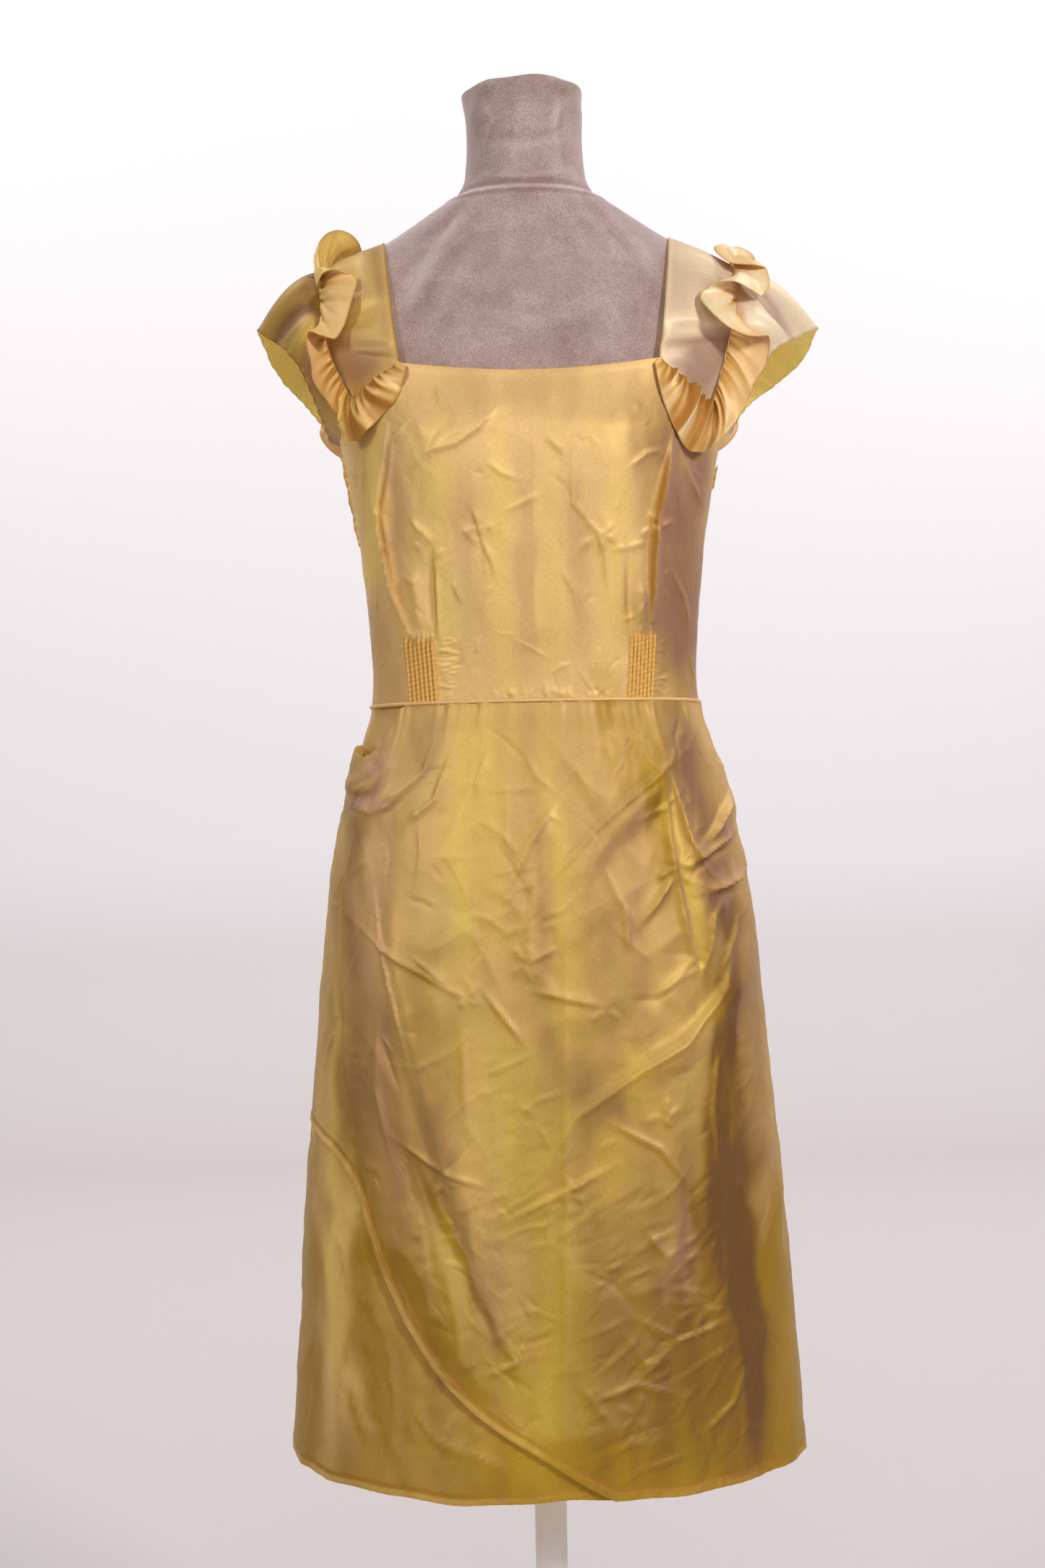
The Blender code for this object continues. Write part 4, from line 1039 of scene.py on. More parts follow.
sleeves = {
    "columns": 250,
    "rows": 30,
    "wall": 0.5,
    # shot and tone on each side: painted light, paler and more gold on the wearer's left, deeper on the
    # wearer's right
    "shot": {1: 0.6, -1: 0.3},
    "tone": {1: 0.12, -1: 0.8},
    "ease": 0.5,
    "middle": (150.0, 0, 1268),
    "hem": {"wide": 2.6, "raise": 0.5},
    # share along the armhole, hem x, hem y, hem z, rise of the crown
    "hems": {
        1: (
            (0.00, 157, 0, 1211, 0), (0.10, 163, -40, 1224, 1), (0.20, 172, -58, 1244, 4),
            (0.30, 186, -53, 1264, 8), (0.39, 205, -30, 1277, 10), (0.48, 225, 0, 1289, 11),
            (0.58, 216, 27, 1270, 10), (0.68, 200, 52, 1258, 9), (0.79, 181, 66, 1246, 6),
            (0.90, 165, 50, 1226, 2),
        ),
        -1: (
            (0.00, 156, 0, 1210, 0), (0.10, 160, -40, 1224, 1), (0.20, 168, -58, 1246, 4),
            (0.30, 180, -50, 1268, 8), (0.39, 196, -28, 1283, 11), (0.48, 211, 0, 1297, 12),
            (0.58, 205, 24, 1279, 11), (0.68, 193, 46, 1262, 9), (0.79, 177, 62, 1245, 6),
            (0.90, 162, 48, 1224, 2),
        ),
    },
    # share along the armhole, share out to the hem, half wide, half tall, lean, height in mm
    "folds": {
        1: (
            (0.335, 0.6, 0.022, 0.5, 0.05, 3.2), (0.395, 0.5, 0.022, 0.6, -0.03, -3.2),
            (0.45, 0.7, 0.02, 0.5, 0.04, 2.4), (0.53, 0.6, 0.02, 0.6, 0.03, 2.2),
            (0.62, 0.5, 0.018, 0.5, 0.02, -2), (0.72, 0.6, 0.016, 0.5, -0.02, 1.6),
        ),
        -1: (
            (0.31, 0.6, 0.018, 0.5, -0.03, 2.2), (0.37, 0.5, 0.02, 0.6, 0.02, -3),
            (0.43, 0.6, 0.022, 0.5, 0, 2.8), (0.57, 0.5, 0.02, 0.6, -0.03, -2.2),
            (0.66, 0.6, 0.018, 0.5, 0.02, 2), (0.75, 0.6, 0.016, 0.4, 0, -1.4),
        ),
    },
}


def topEdge(x, behind, side=0):
    # Height of the bodice's upper edge at a distance from the middle
    if not side:
        return np.where(x > 0, topEdge(x, behind, 1), topEdge(x, behind, -1))
    grid = yokeGrid(side, 5, 0.25) * np.array([side, 1, 1])
    corner = int((body["backCornerRow"] if behind else body["frontCornerRow"]) / 0.25)
    arm = grid[corner:, 0] if behind else grid[corner::-1, 0]
    armX, armZ = arm[:, 0], arm[:, 2]
    x = np.abs(x)
    middle = body["neckBackZ"] if behind else body["neckFrontZ"]
    seam = body["seam"]
    inside = middle + (armZ[0] - middle) * (x / armX[0]) ** 2 - seam
    onArm = np.interp(x, armX, armZ) - 2 * seam
    sideX = aroundBody(dressCurve, 90, body["underarmZ"])[0]
    t = np.clip((x - armX[-1]) / (sideX - armX[-1]), 0, 1)
    beyond = armZ[-1] - 2 * seam + (body["underarmZ"] - armZ[-1] + 2 * seam) * t**0.8
    return np.where(x <= armX[0], inside, np.where(x <= armX[-1], onArm, beyond))


def armholePath(side):
    yoke = yokeGrid(side, 5, 1)[:, -1] * np.array([side, 1, 1])
    sideX = aroundBody(dressCurve, 90, body["underarmZ"])[0]
    path = [np.array([[sideX, 0, body["underarmZ"]]])]
    for behind in (False, True):
        x = np.linspace(sideX, yoke[-1 if behind else 0][0], 5)[1:]
        z = topEdge(x, behind, side)
        lower = withBust(aroundBody(dressCurve, turnAt(x, z, behind), z))
        path += [lower[::-1]] if behind else [lower, yoke[1:-1]]
    return np.concatenate(path) * np.array([side, 1, 1])


def sleeveGrid(side, columns, rows):
    path = armholePath(side)
    seam = resample(np.concatenate([path, path[:1]]), columns + 1)[:-1]
    table = sleeves["hems"][side]
    hemX, hemY, hemZ, crown = Curve((*table, (1.0, *table[0][1:]))).at(np.arange(columns) / columns)
    hem = np.stack([hemX * side, hemY, hemZ], axis=-1)
    out = seam - np.array(sleeves["middle"]) * np.array([side, 1, 1])
    out = unit(out * np.array([0, 1, 1]))
    start = seam + unit(hem - seam) * body["seam"] * 1.5 + out * sleeves["ease"]
    t = np.linspace(0, 1, rows)[:, None, None]
    return start + (hem - start) * t + out * crown[:, None] * 4 * t * (1 - t)


def makeSleeves():
    for name, side, node in (("sleeveLeft", 1, "sleeve_left"), ("sleeveRight", -1, "sleeve_right")):
        grid = sleeveGrid(side, sleeves["columns"], sleeves["rows"])
        rows, columns = grid.shape[:2]
        out = outward(grid, True) * -side
        share, along = np.meshgrid(np.linspace(0, 1, rows), np.arange(columns) / columns, indexing="ij")
        folds = patched(along, share, sleeves["folds"][side]) * ramp(share / 0.25)
        toHem = runs(grid[::-1], 0)[::-1]
        lift = folds + turnedEdge(toHem, sleeves["hem"], stitch=False)
        lift += 0.45 * np.sin(along * 190) * ramp((6 - toHem) / 5)
        gathers = np.sin(along * 2 * math.pi * 46 + 2 * np.sin(along * 40))
        lift += 0.5 * gathers * np.exp(-share / 0.12) * ramp((0.5 - abs(along - 0.48)) / 0.3)
        grid = grid + out * lift[..., None]
        shot = sleeves["shot"][side] + 0.25 * np.sin(along * 26 + side) * np.sin(share * 2 + 1) + 0.15 * lift
        tone = sleeves["tone"][side] + 0.75 * ramp((2.0 - toHem) / 0.8) + 0.8 * paintedCreaseShading(folds, grid)
        how = {"ring": True, "flip": side > 0, "wall": sleeves["wall"], "shot": shot, "tone": tone}
        makeSheet(name, node, "taffeta", grid, shoulderLooks[side], **how)


ruffles = {
    "columns": 520,
    "rows": 28,
    "rounding": 3,
    "sleeveGrid": (60, 9),
    "bulge": 11,
    "footGap": 1.2,
    "skew": 0.42,
    # share of the seam where the placed outer edge starts to give way to the waves, and over how much
    "placedTo": (0.58, 0.07),
    "gathers": {"count": 150, "fades": (4, 22), "halves": (0.9, 1.8), "depths": (0.5, 1.25), "slant": 0.14},
    # share of the seam and half width of the place beside the front point, where the gathers are crowded
    "tip": (0.1, 0.06),
    # how far the cloth stands off the sleeve and the yoke
    "clear": (1.1, 0.9),
    "wall": 0.45,
    "lobeTilt": 62,
    "edge": {"wide": 1.3, "raise": 0.45},
    # share along the seam, tilt up from lying flat in degrees, width
    "waves": {
        1: (
            (0.00, 10, 4), (0.05, 14, 24), (0.12, 20, 36), (0.18, 18, 36), (0.24, 14, 36),
            (0.285, 34, 37), (0.335, 128, 35), (0.375, 118, 34), (0.415, 30, 36), (0.45, 48, 34),
            (0.49, 104, 33), (0.54, 40, 36), (0.59, 96, 36), (0.64, 36, 36), (0.69, 112, 35),
            (0.75, 24, 36), (0.82, 16, 36), (0.88, 20, 36), (0.95, 14, 24), (1.00, 10, 4),
        ),
        -1: (
            (0.00, 12, 6), (0.05, 16, 26), (0.12, 22, 34), (0.18, 16, 36), (0.24, 16, 36),
            (0.285, 30, 36), (0.33, 92, 36), (0.37, 122, 34), (0.41, 44, 34), (0.45, 66, 36),
            (0.49, 112, 36), (0.535, 92, 37), (0.58, 34, 36), (0.63, 100, 36), (0.68, 38, 36),
            (0.73, 108, 35), (0.79, 22, 36), (0.88, 20, 36), (0.95, 14, 24), (1.00, 10, 4),
        ),
    },
    # share along the seam, and the place of the outer edge: x away from the middle, y, z
    "edges": {
        1: (
            (0.00, 92, -97, 1248), (0.02, 95, -98, 1232), (0.045, 101, -98, 1211), (0.07, 108, -93, 1196),
            (0.095, 114, -89, 1187), (0.12, 119, -86, 1184), (0.135, 124, -84, 1184),
            (0.15, 131, -77, 1187), (0.165, 139, -73, 1193), (0.19, 150, -70, 1204),
            (0.21, 159, -68, 1215), (0.245, 168, -68, 1236), (0.27, 177, -70, 1250),
            (0.285, 179.5, -73, 1264), (0.297, 178, -76, 1270), (0.31, 167, -82, 1270),
            (0.33, 150, -84, 1275), (0.35, 134, -80, 1290), (0.365, 128.5, -74, 1300),
            (0.38, 131, -72, 1306), (0.395, 140, -77, 1312), (0.41, 153, -76, 1312),
            (0.425, 167, -69, 1308), (0.44, 176.5, -55, 1305), (0.452, 184, -46, 1318),
            (0.465, 182, -42, 1329), (0.48, 172, -46, 1331), (0.495, 155, -46, 1333),
            (0.515, 144, -28, 1346), (0.54, 150, 4, 1358), (0.56, 166, 22, 1361), (0.58, 180, 20, 1353),
            (0.60, 182, 28, 1344), (0.63, 174, 52, 1338), (0.66, 164, 66, 1336),
        ),
        -1: (
            (0.00, 90, -97, 1249), (0.02, 92, -98, 1241), (0.04, 95, -97, 1232), (0.06, 102, -94, 1222),
            (0.085, 112, -90, 1212), (0.105, 120, -87, 1205), (0.12, 129, -83, 1197),
            (0.13, 134, -80, 1197), (0.14, 138, -78, 1200), (0.155, 142, -76, 1213),
            (0.175, 149, -82, 1224), (0.195, 155, -85, 1232), (0.225, 160, -87, 1246),
            (0.25, 163, -87, 1259), (0.27, 164.5, -85, 1273), (0.28, 162, -85, 1278),
            (0.292, 154, -86, 1275), (0.305, 145, -84, 1273), (0.325, 138, -78, 1283),
            (0.345, 133, -75, 1297), (0.365, 129.5, -70, 1310), (0.38, 128, -64, 1319),
            (0.395, 131, -62, 1325), (0.41, 142.5, -66, 1329), (0.43, 154, -62, 1327),
            (0.445, 160, -54, 1318), (0.455, 159, -44, 1326), (0.467, 158, -34, 1338),
            (0.48, 160, -20, 1352), (0.495, 160, -12, 1362), (0.51, 155, -2, 1372), (0.525, 146, 4, 1376),
            (0.54, 136, 4, 1372), (0.555, 130, 7, 1365), (0.575, 129, 14, 1357), (0.595, 133, 26, 1352),
            (0.62, 150, 50, 1350), (0.66, 168, 64, 1332),
        ),
    },
    # share along the seam, share out, half wide, half tall, lean, amount
    "patches": {
        1: (
            (0.42, 0.5, 0.14, 0.9, 0, 0.4), (0.06, 0.5, 0.03, 0.5, 0, -0.3),
            (0.2, 0.6, 0.03, 0.4, 0, 0.25), (0.31, 0.5, 0.02, 0.6, 0, -0.3),
            (0.43, 0.5, 0.02, 0.7, 0, 0.3), (0.5, 0.5, 0.02, 0.6, 0, -0.2),
            (0.56, 0.5, 0.03, 0.6, 0, 0.5),
        ),
        -1: (
            (0.07, 0.5, 0.04, 0.6, 0, -0.4), (0.14, 0.6, 0.02, 0.6, 0, 0.7),
            (0.2, 0.6, 0.03, 0.4, 0, -0.3), (0.3, 0.5, 0.02, 0.6, 0, 0.35),
            (0.44, 0.5, 0.03, 0.7, 0, 0.6), (0.53, 0.5, 0.05, 0.7, 0, 0.75),
        ),
    },
}


def ruffleSeam(side, count):
    # Even points along a pointed seam from the front neck corner to the back one
    curve = yokeCurves[side]
    front = np.array(curve.at(np.linspace(body["frontCornerRow"], 0, 24))[:2]).T
    outer = np.array(curve.at(np.linspace(0, yokeEnd, 130))[2:]).T
    back = np.array(curve.at(np.linspace(yokeEnd, body["backCornerRow"], 24))[:2]).T
    path = np.concatenate([front, outer, back])
    for _ in range(ruffles["rounding"]):
        path[1:-1] = (path[:-2] + 2 * path[1:-1] + path[2:]) / 4
    points, normals = overShoulder(path[:, 0], path[:, 1])
    lengths = lengthsAlong(points)
    places = np.linspace(0, lengths[-1], count)
    both = np.concatenate([points, normals], axis=1)
    both = np.stack([np.interp(places, lengths, both[:, k]) for k in range(6)], axis=1)
    points, normals = both[:, :3], unit(both[:, 3:])
    tangents = unit(np.gradient(points, axis=0))
    return points, normals, unit(np.cross(tangents, normals)), lengths[-1]


def surfaceTree(grids):
    points, faces = [], []
    for grid, ring in grids:
        rows, columns = grid.shape[:2]
        shift = len(points)
        points += [tuple(point) for point in grid.reshape(-1, 3)]
        for i in range(rows - 1):
            for j in range(columns if ring else columns - 1):
                k = (j + 1) % columns
                corners = (i * columns + j, i * columns + k, (i + 1) * columns + k, (i + 1) * columns + j)
                faces.append(tuple(shift + corner for corner in corners))
    return BVHTree.FromPolygons(points, faces)


def liftedClear(point, tree, way, gap):
    # The point, moved out until it stands this far off the cloth beside it
    for _ in range(2):
        near, normal, _, away = tree.find_nearest(tuple(point))
        near, normal = np.array(near), np.array(normal)
        normal = normal if float(normal @ way) > 0 else -normal
        height = float((point - near) @ normal)
        aside = math.sqrt(max(away * away - height * height, 0))
        if height >= gap or aside > 3:
            break
        point = point + normal * (gap - height)
    return point


def ruffleWays(sleeve, points, normals, outs):
    # How the strip would lie flat at each place: over the sleeve where that is near
    away = np.linalg.norm(sleeve[0][None] - points[:, None], axis=2)
    near = np.argmin(away, axis=1)
    share = ramp(1 - (away[np.arange(len(points)), near] - 4) / 14)[:, None]
    flats = unit(share * unit(sleeve[4, near] - points) + (1 - share) * outs)
    for _ in range(6):
        flats[1:-1] = unit(flats[:-2] + flats[1:-1] * 2 + flats[2:])
    return flats, unit(normals - flats * np.sum(normals * flats, axis=1, keepdims=True))


def waveGrid(side, along, length, points, normals, flats, ups):
    # The strip without its gathers, and its width: waves behind, a placed outer edge in front
    rows = ruffles["rows"]
    tangents = unit(np.gradient(points, axis=0))
    tilt, width = Curve(ruffles["waves"][side]).at(along)
    lean = np.radians(tilt)
    turning = np.gradient(lean) / (length / len(along))
    skew = -ruffles["skew"] * np.tanh(turning * 14)
    foot = points + normals * (ruffles["footGap"] * (1 + np.abs(np.cos(lean))))[:, None]
    grid = np.zeros((rows, len(along), 3))
    grid[0] = foot
    target = math.radians(ruffles["lobeTilt"])
    for i in range(1, rows):
        v = i / (rows - 1)
        nowLean = lean + (target - lean) * 0.42 * v * v
        way = flats * np.cos(nowLean)[:, None] + ups * np.sin(nowLean)[:, None]
        way = unit(way + tangents * (skew * (0.4 + 0.8 * v))[:, None])
        grid[i] = grid[i - 1] + way * (width / (rows - 1))[:, None]
    edge = np.stack(Curve(ruffles["edges"][side]).at(along), axis=1) * np.array([side, 1, 1])
    reach = edge - foot
    far = np.linalg.norm(reach, axis=1)
    bulge = 2 + ruffles["bulge"] * (1 - np.abs(np.sum(unit(reach) * normals, axis=1)))
    bulge += 0.6 * np.clip(32 - far, 0, 18) * ramp((along - 0.15) / 0.1)
    middle = foot + reach * 0.45 + normals * (bulge * ramp(along / 0.05))[:, None]
    start, span = ruffles["placedTo"]
    placed = 1 - ramp((along - start) / span)
    for i in range(rows):
        v = i / (rows - 1)
        bent = (1 - v) ** 2 * foot + 2 * v * (1 - v) * middle + v * v * edge
        grid[i] = grid[i] * (1 - placed)[:, None] + bent * placed[:, None]
    return grid, lean, width * (1 - placed) + far * placed


def gatheredPleats(side, along, length, fromRoot):
    # Small pleats that start at the seam, deeper and longer beside the front point
    gathers, (tip, tipHalf) = ruffles["gathers"], ruffles["tip"]
    pick = random.Random(40 + side)
    places = along * length
    total = np.zeros(fromRoot.shape)
    for _ in range(gathers["count"]):
        at, fade = pick.uniform(0, length), pick.uniform(*gathers["fades"])
        wide = pick.uniform(*gathers["halves"])
        depth = pick.uniform(*gathers["depths"]) * (0.5 + fade / gathers["fades"][1])
        nearTip = math.exp(-(((at / length - tip) / tipHalf) ** 2))
        depth, fade = depth * (1 + 2 * nearTip), fade * (1 + 0.8 * nearTip)
        slant = pick.uniform(-gathers["slant"], gathers["slant"])
        slant = slant - 0.25 * nearTip * ramp((0.12 - at / length) / 0.05)
        line = at + fromRoot * slant
        aside = (places[None, :] - line) / (wide + 0.05 * fromRoot)
        total += depth * np.exp(-(aside**2) - fromRoot / fade)
    return total


def makeRuffles():
    count, rows = ruffles["columns"], ruffles["rows"]
    along, v = np.linspace(0, 1, count), np.linspace(0, 1, rows)[:, None]
    for name, side, node in (("ruffleLeft", 1, "ruffle_left"), ("ruffleRight", -1, "ruffle_right")):
        points, normals, outs, length = ruffleSeam(side, count)
        mirror = np.array([side, 1, 1])
        points, normals, outs = points * mirror, normals * mirror, outs * mirror
        sleeve = sleeveGrid(side, *ruffles["sleeveGrid"])
        flats, ups = ruffleWays(sleeve, points, normals, outs)
        grid, lean, width = waveGrid(side, along, length, points, normals, flats, ups)
        fromRoot, toEdge = v * width[None, :], (1 - v) * width[None, :]
        pleats = gatheredPleats(side, along, length, fromRoot)
        ripple = np.sin(along * 60 + 2 * np.sin(along * 23)) + 0.6 * np.sin(along * 141 + side)
        lift = (pleats - 0.6) * ramp(fromRoot / 1.5)
        lift += 0.8 * ripple[None, :] * ramp((v - 0.35) / 0.5)
        lift += turnedEdge(toEdge, ruffles["edge"], stitch=False)
        grid = grid - outward(grid, False) * side * lift[..., None]
        tree = surfaceTree(((sleeve, True), (yokeGrid(side, 7, 0.5), False)))
        least, more = ruffles["clear"]
        for j in range(count):
            gap = least + more * max(math.cos(lean[j]), 0)
            for i in range(rows):
                grid[i, j] = liftedClear(grid[i, j], tree, ups[j], gap)
        steep = np.tanh(2 * np.gradient(pleats, axis=1) / (length / count) * side)
        atTip = bell(along - 0.115, 0.085)[None, :]
        shot = 0.42 - 0.04 * side + 0.14 * np.sin(along * 37 + side)[None, :] * v + 0.18 * (pleats - 0.5)
        shot += patched(*np.broadcast_arrays(along[None, :], v), ruffles["patches"][side])
        # Painted shade on the steep sides of the pleats, next to the seam and beside the front point; on the
        # wearer's left, a painted highlight across the middle of the strip
        tone = 0.06 + 0.65 * steep + 0.5 * np.exp(-fromRoot / 5) + 0.7 * atTip
        if side > 0:
            tone = tone - 0.35 * np.exp(-(((along - 0.42) / 0.12) ** 4))[None, :]
        tone = np.maximum(tone, 0.8 * ramp((1.3 - toEdge) / 0.5))
        # browned as painted shade next to the seam, on the steep sides of the pleats and beside the front
        # point
        warm = np.clip(1.1 * np.exp(-fromRoot / 8) + 0.7 * steep + 0.7 * atTip, 0, 1)
        how = {"flip": side > 0, "wall": ruffles["wall"], "shot": shot, "tone": tone, "warm": warm}
        makeSheet(name, node, "taffeta_light", grid, ruffleLooks[side], **how)


makeYokes()
makeSleeves()
makeRuffles()
print("yokes, sleeves and ruffles made")


# Bodice

bodice = {
    "columnGap": 1.35,
    "rowGap": 1.35,
    "wall": 0.6,
    "backingStep": 3,
    "rowTop": 1222.0,  # height of the first row before the rows follow the upper edge
    "topHem": {"wide": 5.5, "raise": 0.4},
    "shadeSway": 4.0,
    # painted shade, deeper towards the waist: tone at the top, what the waist adds, the height it starts at
    # and the height it takes
    "tone": (0.04, 0.12, 1140, 140),
    "backDownwardShade": (0.04, 0.14, 1140, 140),
    # size, height, lean, stretch
    "crumple": ((38, 1.0, 40, 1.9), (27, 0.8, -35, 2.0), (13, 0.35, 10, 1.5)),
    # strewn creases: seed, count, spans of x and z, of length and height, leans, span of half width
    "small": (
        (11, 100, (-205, 205), (1010, 1225), (10, 40), (0.2, 0.6), (20, -35, 60, -70, 5), (1.7, 2.5)),
    ),
    "backSmall": (
        (15, 120, (-205, 205), (1010, 1250), (12, 50), (0.25, 0.7), (15, -30, 65, -60), (1.8, 2.8)),
    ),
    "puckers": (
        (12, 44, (-66, 66), (1003, 1008), (7, 20), (0.25, 0.55), (0, 8, -8), (1.2, 2)),
        (13, 30, (-69, -58), (1008, 1048), (9, 22), (0.2, 0.4), (84, 93), (1, 1.5)),
        (14, 22, (90, 98), (1006, 1044), (7, 16), (0.15, 0.35), (85, 97), (1, 1.5)),
    ),
    "shirring": {
        "top": 1047.0,
        "ribs": 7,
        "raise": 1.9,
        "fan": 2.5,
        "stitchGap": 3.6,
        "columnGap": 0.75,
        "rowGap": 0.95,
        "spans": ((-96.0, -73.0), (69.0, 89.0)),
    },
    "folds": (
        (4.2, 4.7, 0.35, (
            (-92, 1040), (-97, 1062), (-104, 1084), (-111, 1120), (-113, 1150), (-109, 1178), (-106, 1206),
        )),
        (-2.6, 4.5, 0, ((-74, 1048), (-76, 1110))), (2.6, 5, 0, ((-84, 1050), (-88, 1100))),
        (-2.6, 4.5, 0, ((70, 1050), (70, 1112))),
        (3.8, 4.7, -0.6, ((86, 1040), (88, 1090), (90, 1136), (98, 1166), (106, 1200))),
        (2.4, 5, 0, ((79, 1050), (80, 1092))),
        (1.8, 6, 0, ((-104, 1168), (-70, 1188), (-40, 1204), (-8, 1222))),
        (-2, 6, 0, ((-50, 1152), (-32, 1104))), (1.8, 6, 0, ((36, 1148), (62, 1120), (68, 1074))),
    ),
    "creases": (
        (1.3, 3.2, 0.5, ((-96, 1166), (-75, 1183), (-54, 1187), (-38, 1198), (-25, 1214), (-8, 1220))),
        (1.1, 3.2, -0.4, ((-70, 1237), (-62, 1218), (-55, 1203))),
        (1.6, 3.4, 0.5, ((-49, 1150), (-42, 1136), (-37, 1117), (-31, 1104), (-26, 1088))),
        (1.2, 3, 0.4, ((-52, 1128), (-39, 1113))),
        (1.4, 3.2, 0.5, ((-92, 1137), (-81, 1126), (-73, 1118))),
        (1, 3, 0.3, ((-97, 1095), (-85, 1089))), (1.2, 3, 0.4, ((-72, 1107), (-64, 1113))),
        (1.2, 3, -0.4, ((-22, 1138), (7, 1151))),
        (1.5, 3.2, 0.5, ((30, 1185), (29, 1143), (47, 1122), (52, 1105), (56, 1065))),
        (1.4, 3, 0.4, ((47, 1122), (62, 1115))), (1.3, 3, 0.4, ((54, 1109), (71, 1112), (86, 1117))),
        (1.6, 3.4, -0.5, ((105, 1188), (91, 1131))), (1.4, 3, 0.4, ((89, 1124), (105, 1134))),
        (1.3, 3.4, 0.4, ((108, 1185), (116, 1168), (130, 1145))),
        (1.8, 3.6, 0.6, (
            (-91, 1048), (-101, 1081), (-109, 1142), (-104, 1167), (-102, 1192), (-93, 1205), (-81, 1216),
        )),
        (1.6, 2.8, 0.3, ((-71, 1048), (-72, 1107))), (1.5, 2.8, -0.3, ((69, 1049), (70, 1109))),
        (1.6, 3, -0.5, ((85, 1048), (87, 1131), (105, 1188))),
        (1.4, 3.6, 0.6, ((-125, 1193), (-120, 1162), (-115, 1131), (-116, 1118))),
        (0.7, 2.4, 0, ((2, 1232), (1, 1150), (0, 1010))),
        (1.1, 3, 0.5, ((-34, 1175), (-22, 1165), (-8, 1160))),
        (1, 3, 0.5, ((10, 1192), (24, 1178))), (1.2, 3, -0.5, ((70, 1168), (84, 1180), (98, 1184))),
        (1, 2.8, 0.5, ((-60, 1090), (-52, 1072))), (1, 2.8, 0.5, ((18, 1100), (30, 1078), (33, 1058))),
        (1.2, 2.8, 0.5, ((102, 1098), (112, 1078), (118, 1052))),
    ),
    "backCreases": (
        (2.6, 6, 0.3, ((-60, 1120), (-20, 1092), (30, 1098))),
        (-2.2, 6, 0, ((50, 1040), (40, 1120), (44, 1180))),
        (2.2, 6, 0, ((-64, 1030), (-56, 1100), (-60, 1180))),
        (1.5, 3.4, 0.5, ((92, 1190), (70, 1150), (60, 1100), (64, 1050))),
        (1.4, 3.2, -0.5, ((-96, 1200), (-76, 1168), (-70, 1120))),
        (1.2, 3, 0.5, ((-20, 1236), (-8, 1190), (4, 1160))),
        (1.2, 3, 0.5, ((20, 1220), (34, 1196), (60, 1188))),
        (1.3, 3, -0.5, ((-40, 1070), (-20, 1052), (10, 1048))),
        (1.2, 3, 0.5, ((84, 1090), (100, 1060), (104, 1030))),
        (1.2, 3, 0.5, ((-110, 1130), (-96, 1100), (-92, 1060))),
        (0.8, 2.4, 0, ((-1, 1256), (0, 1150), (0, 1010))),
    ),
    "patches": (
        (-71, 1118, 16, 80, 0, 0.4), (-26, 1111, 9, 80, 0, 0.35), (11, 1097, 8, 80, 0, 0.35),
        (62, 1116, 10, 70, 0, 0.45), (-119, 1145, 9, 60, 0.1, 1.1), (-6, 1110, 7, 80, 0, -0.25),
        (33, 1097, 15, 70, 0, -0.35), (-47, 1110, 7, 80, 0, -0.28), (113, 1110, 33, 120, 0, -0.9),
        (-99, 1164, 8, 60, 0, -0.3), (0, 1232, 90, 18, 0, -0.25), (-125, 1060, 12, 60, 0, -0.3),
    ),
    # painted shade (above 0) and painted highlights, as in the patches
    "shades": (
        (113, 1110, 33, 140, 0, 0.5), (-124, 1110, 17, 140, 0, 0.28), (-99, 1120, 8, 60, 0, 0.14),
        (-119, 1145, 6, 52, 0.1, -0.1), (0, 1225, 74, 16, 0, 0.07), (84, 1205, 20, 36, 0, 0.22),
        (-96, 1215, 12, 26, 0, 0.12), (-105, 1023, 14, 24, 0, 0.12), (62, 1210, 16, 20, 0, 0.14),
        (-5, 1037, 40, 26, 0, 0.1), (70, 1058, 14, 20, 0, 0.25), (50, 1012, 13, 13, 0, 0.35),
        (110, 1173, 12, 22, 0, -0.3), (-122, 1155, 7, 60, 0, 0.22),
    ),
    # painted shade: dark lines beside the folds over the rows of shirring
    "shadeLines": (
        (0.4, 1.6, 0, ((-91, 1044), (-99, 1079), (-108.5, 1120), (-110, 1150), (-104.5, 1180), (-102, 1200))),
        (0.3, 1.5, 0, ((-73, 1048), (-74, 1120))),
        (0.35, 1.5, 0, ((85, 1048), (86.5, 1090), (88, 1130), (96, 1164), (104, 1190))),
        (0.3, 1.4, 0, ((68, 1050), (68, 1104))),
    ),
    "backPatches": (
        (-80, 1120, 14, 80, 0, 0.4), (-40, 1140, 12, 90, 0, -0.35), (0, 1110, 10, 90, 0, 0.4),
        (36, 1120, 14, 80, 0, -0.3), (72, 1130, 10, 80, 0, 0.45), (110, 1110, 16, 100, 0, -0.4),
        (-118, 1120, 12, 80, 0, -0.35),
    ),
    "stars": (
        (-38, 1128, 4, 15, 1.2), (47, 1120, 4, 18, 1.2), (90, 1128, 4, 15, 1.1), (-84, 1120, 4, 12, 1),
    ),
}


def evened(places, step):
    # As many places as whole steps need: the last gaps are split
    places = list(places)
    while (len(places) - 1) % step:
        k = int(np.argmax(np.diff(places)))
        places.insert(k + 1, (places[k] + places[k + 1]) / 2)
    return np.array(places)


def turnsAcross(start, stop, gap, spans=(), spanGap=1.0, z=1047.0):
    # Columns of points at even gaps, closer together over each span of x
    marks = [start]
    for low, high in spans:
        marks += [float(turnAt(low - 1, z)), float(turnAt(high + 1, z))]
    marks.append(stop)
    turns = []
    for k, (first, last) in enumerate(zip(marks, marks[1:])):
        steps = np.diff(aroundBody(dressCurve, np.linspace(first, last, 40), z), axis=0)
        run = np.linalg.norm(steps, axis=1).sum()
        count = max(2, int(run / (spanGap if k % 2 else gap)))
        turns += list(np.linspace(first, last, count + 1)[:-1])
    return np.array(turns + [stop])


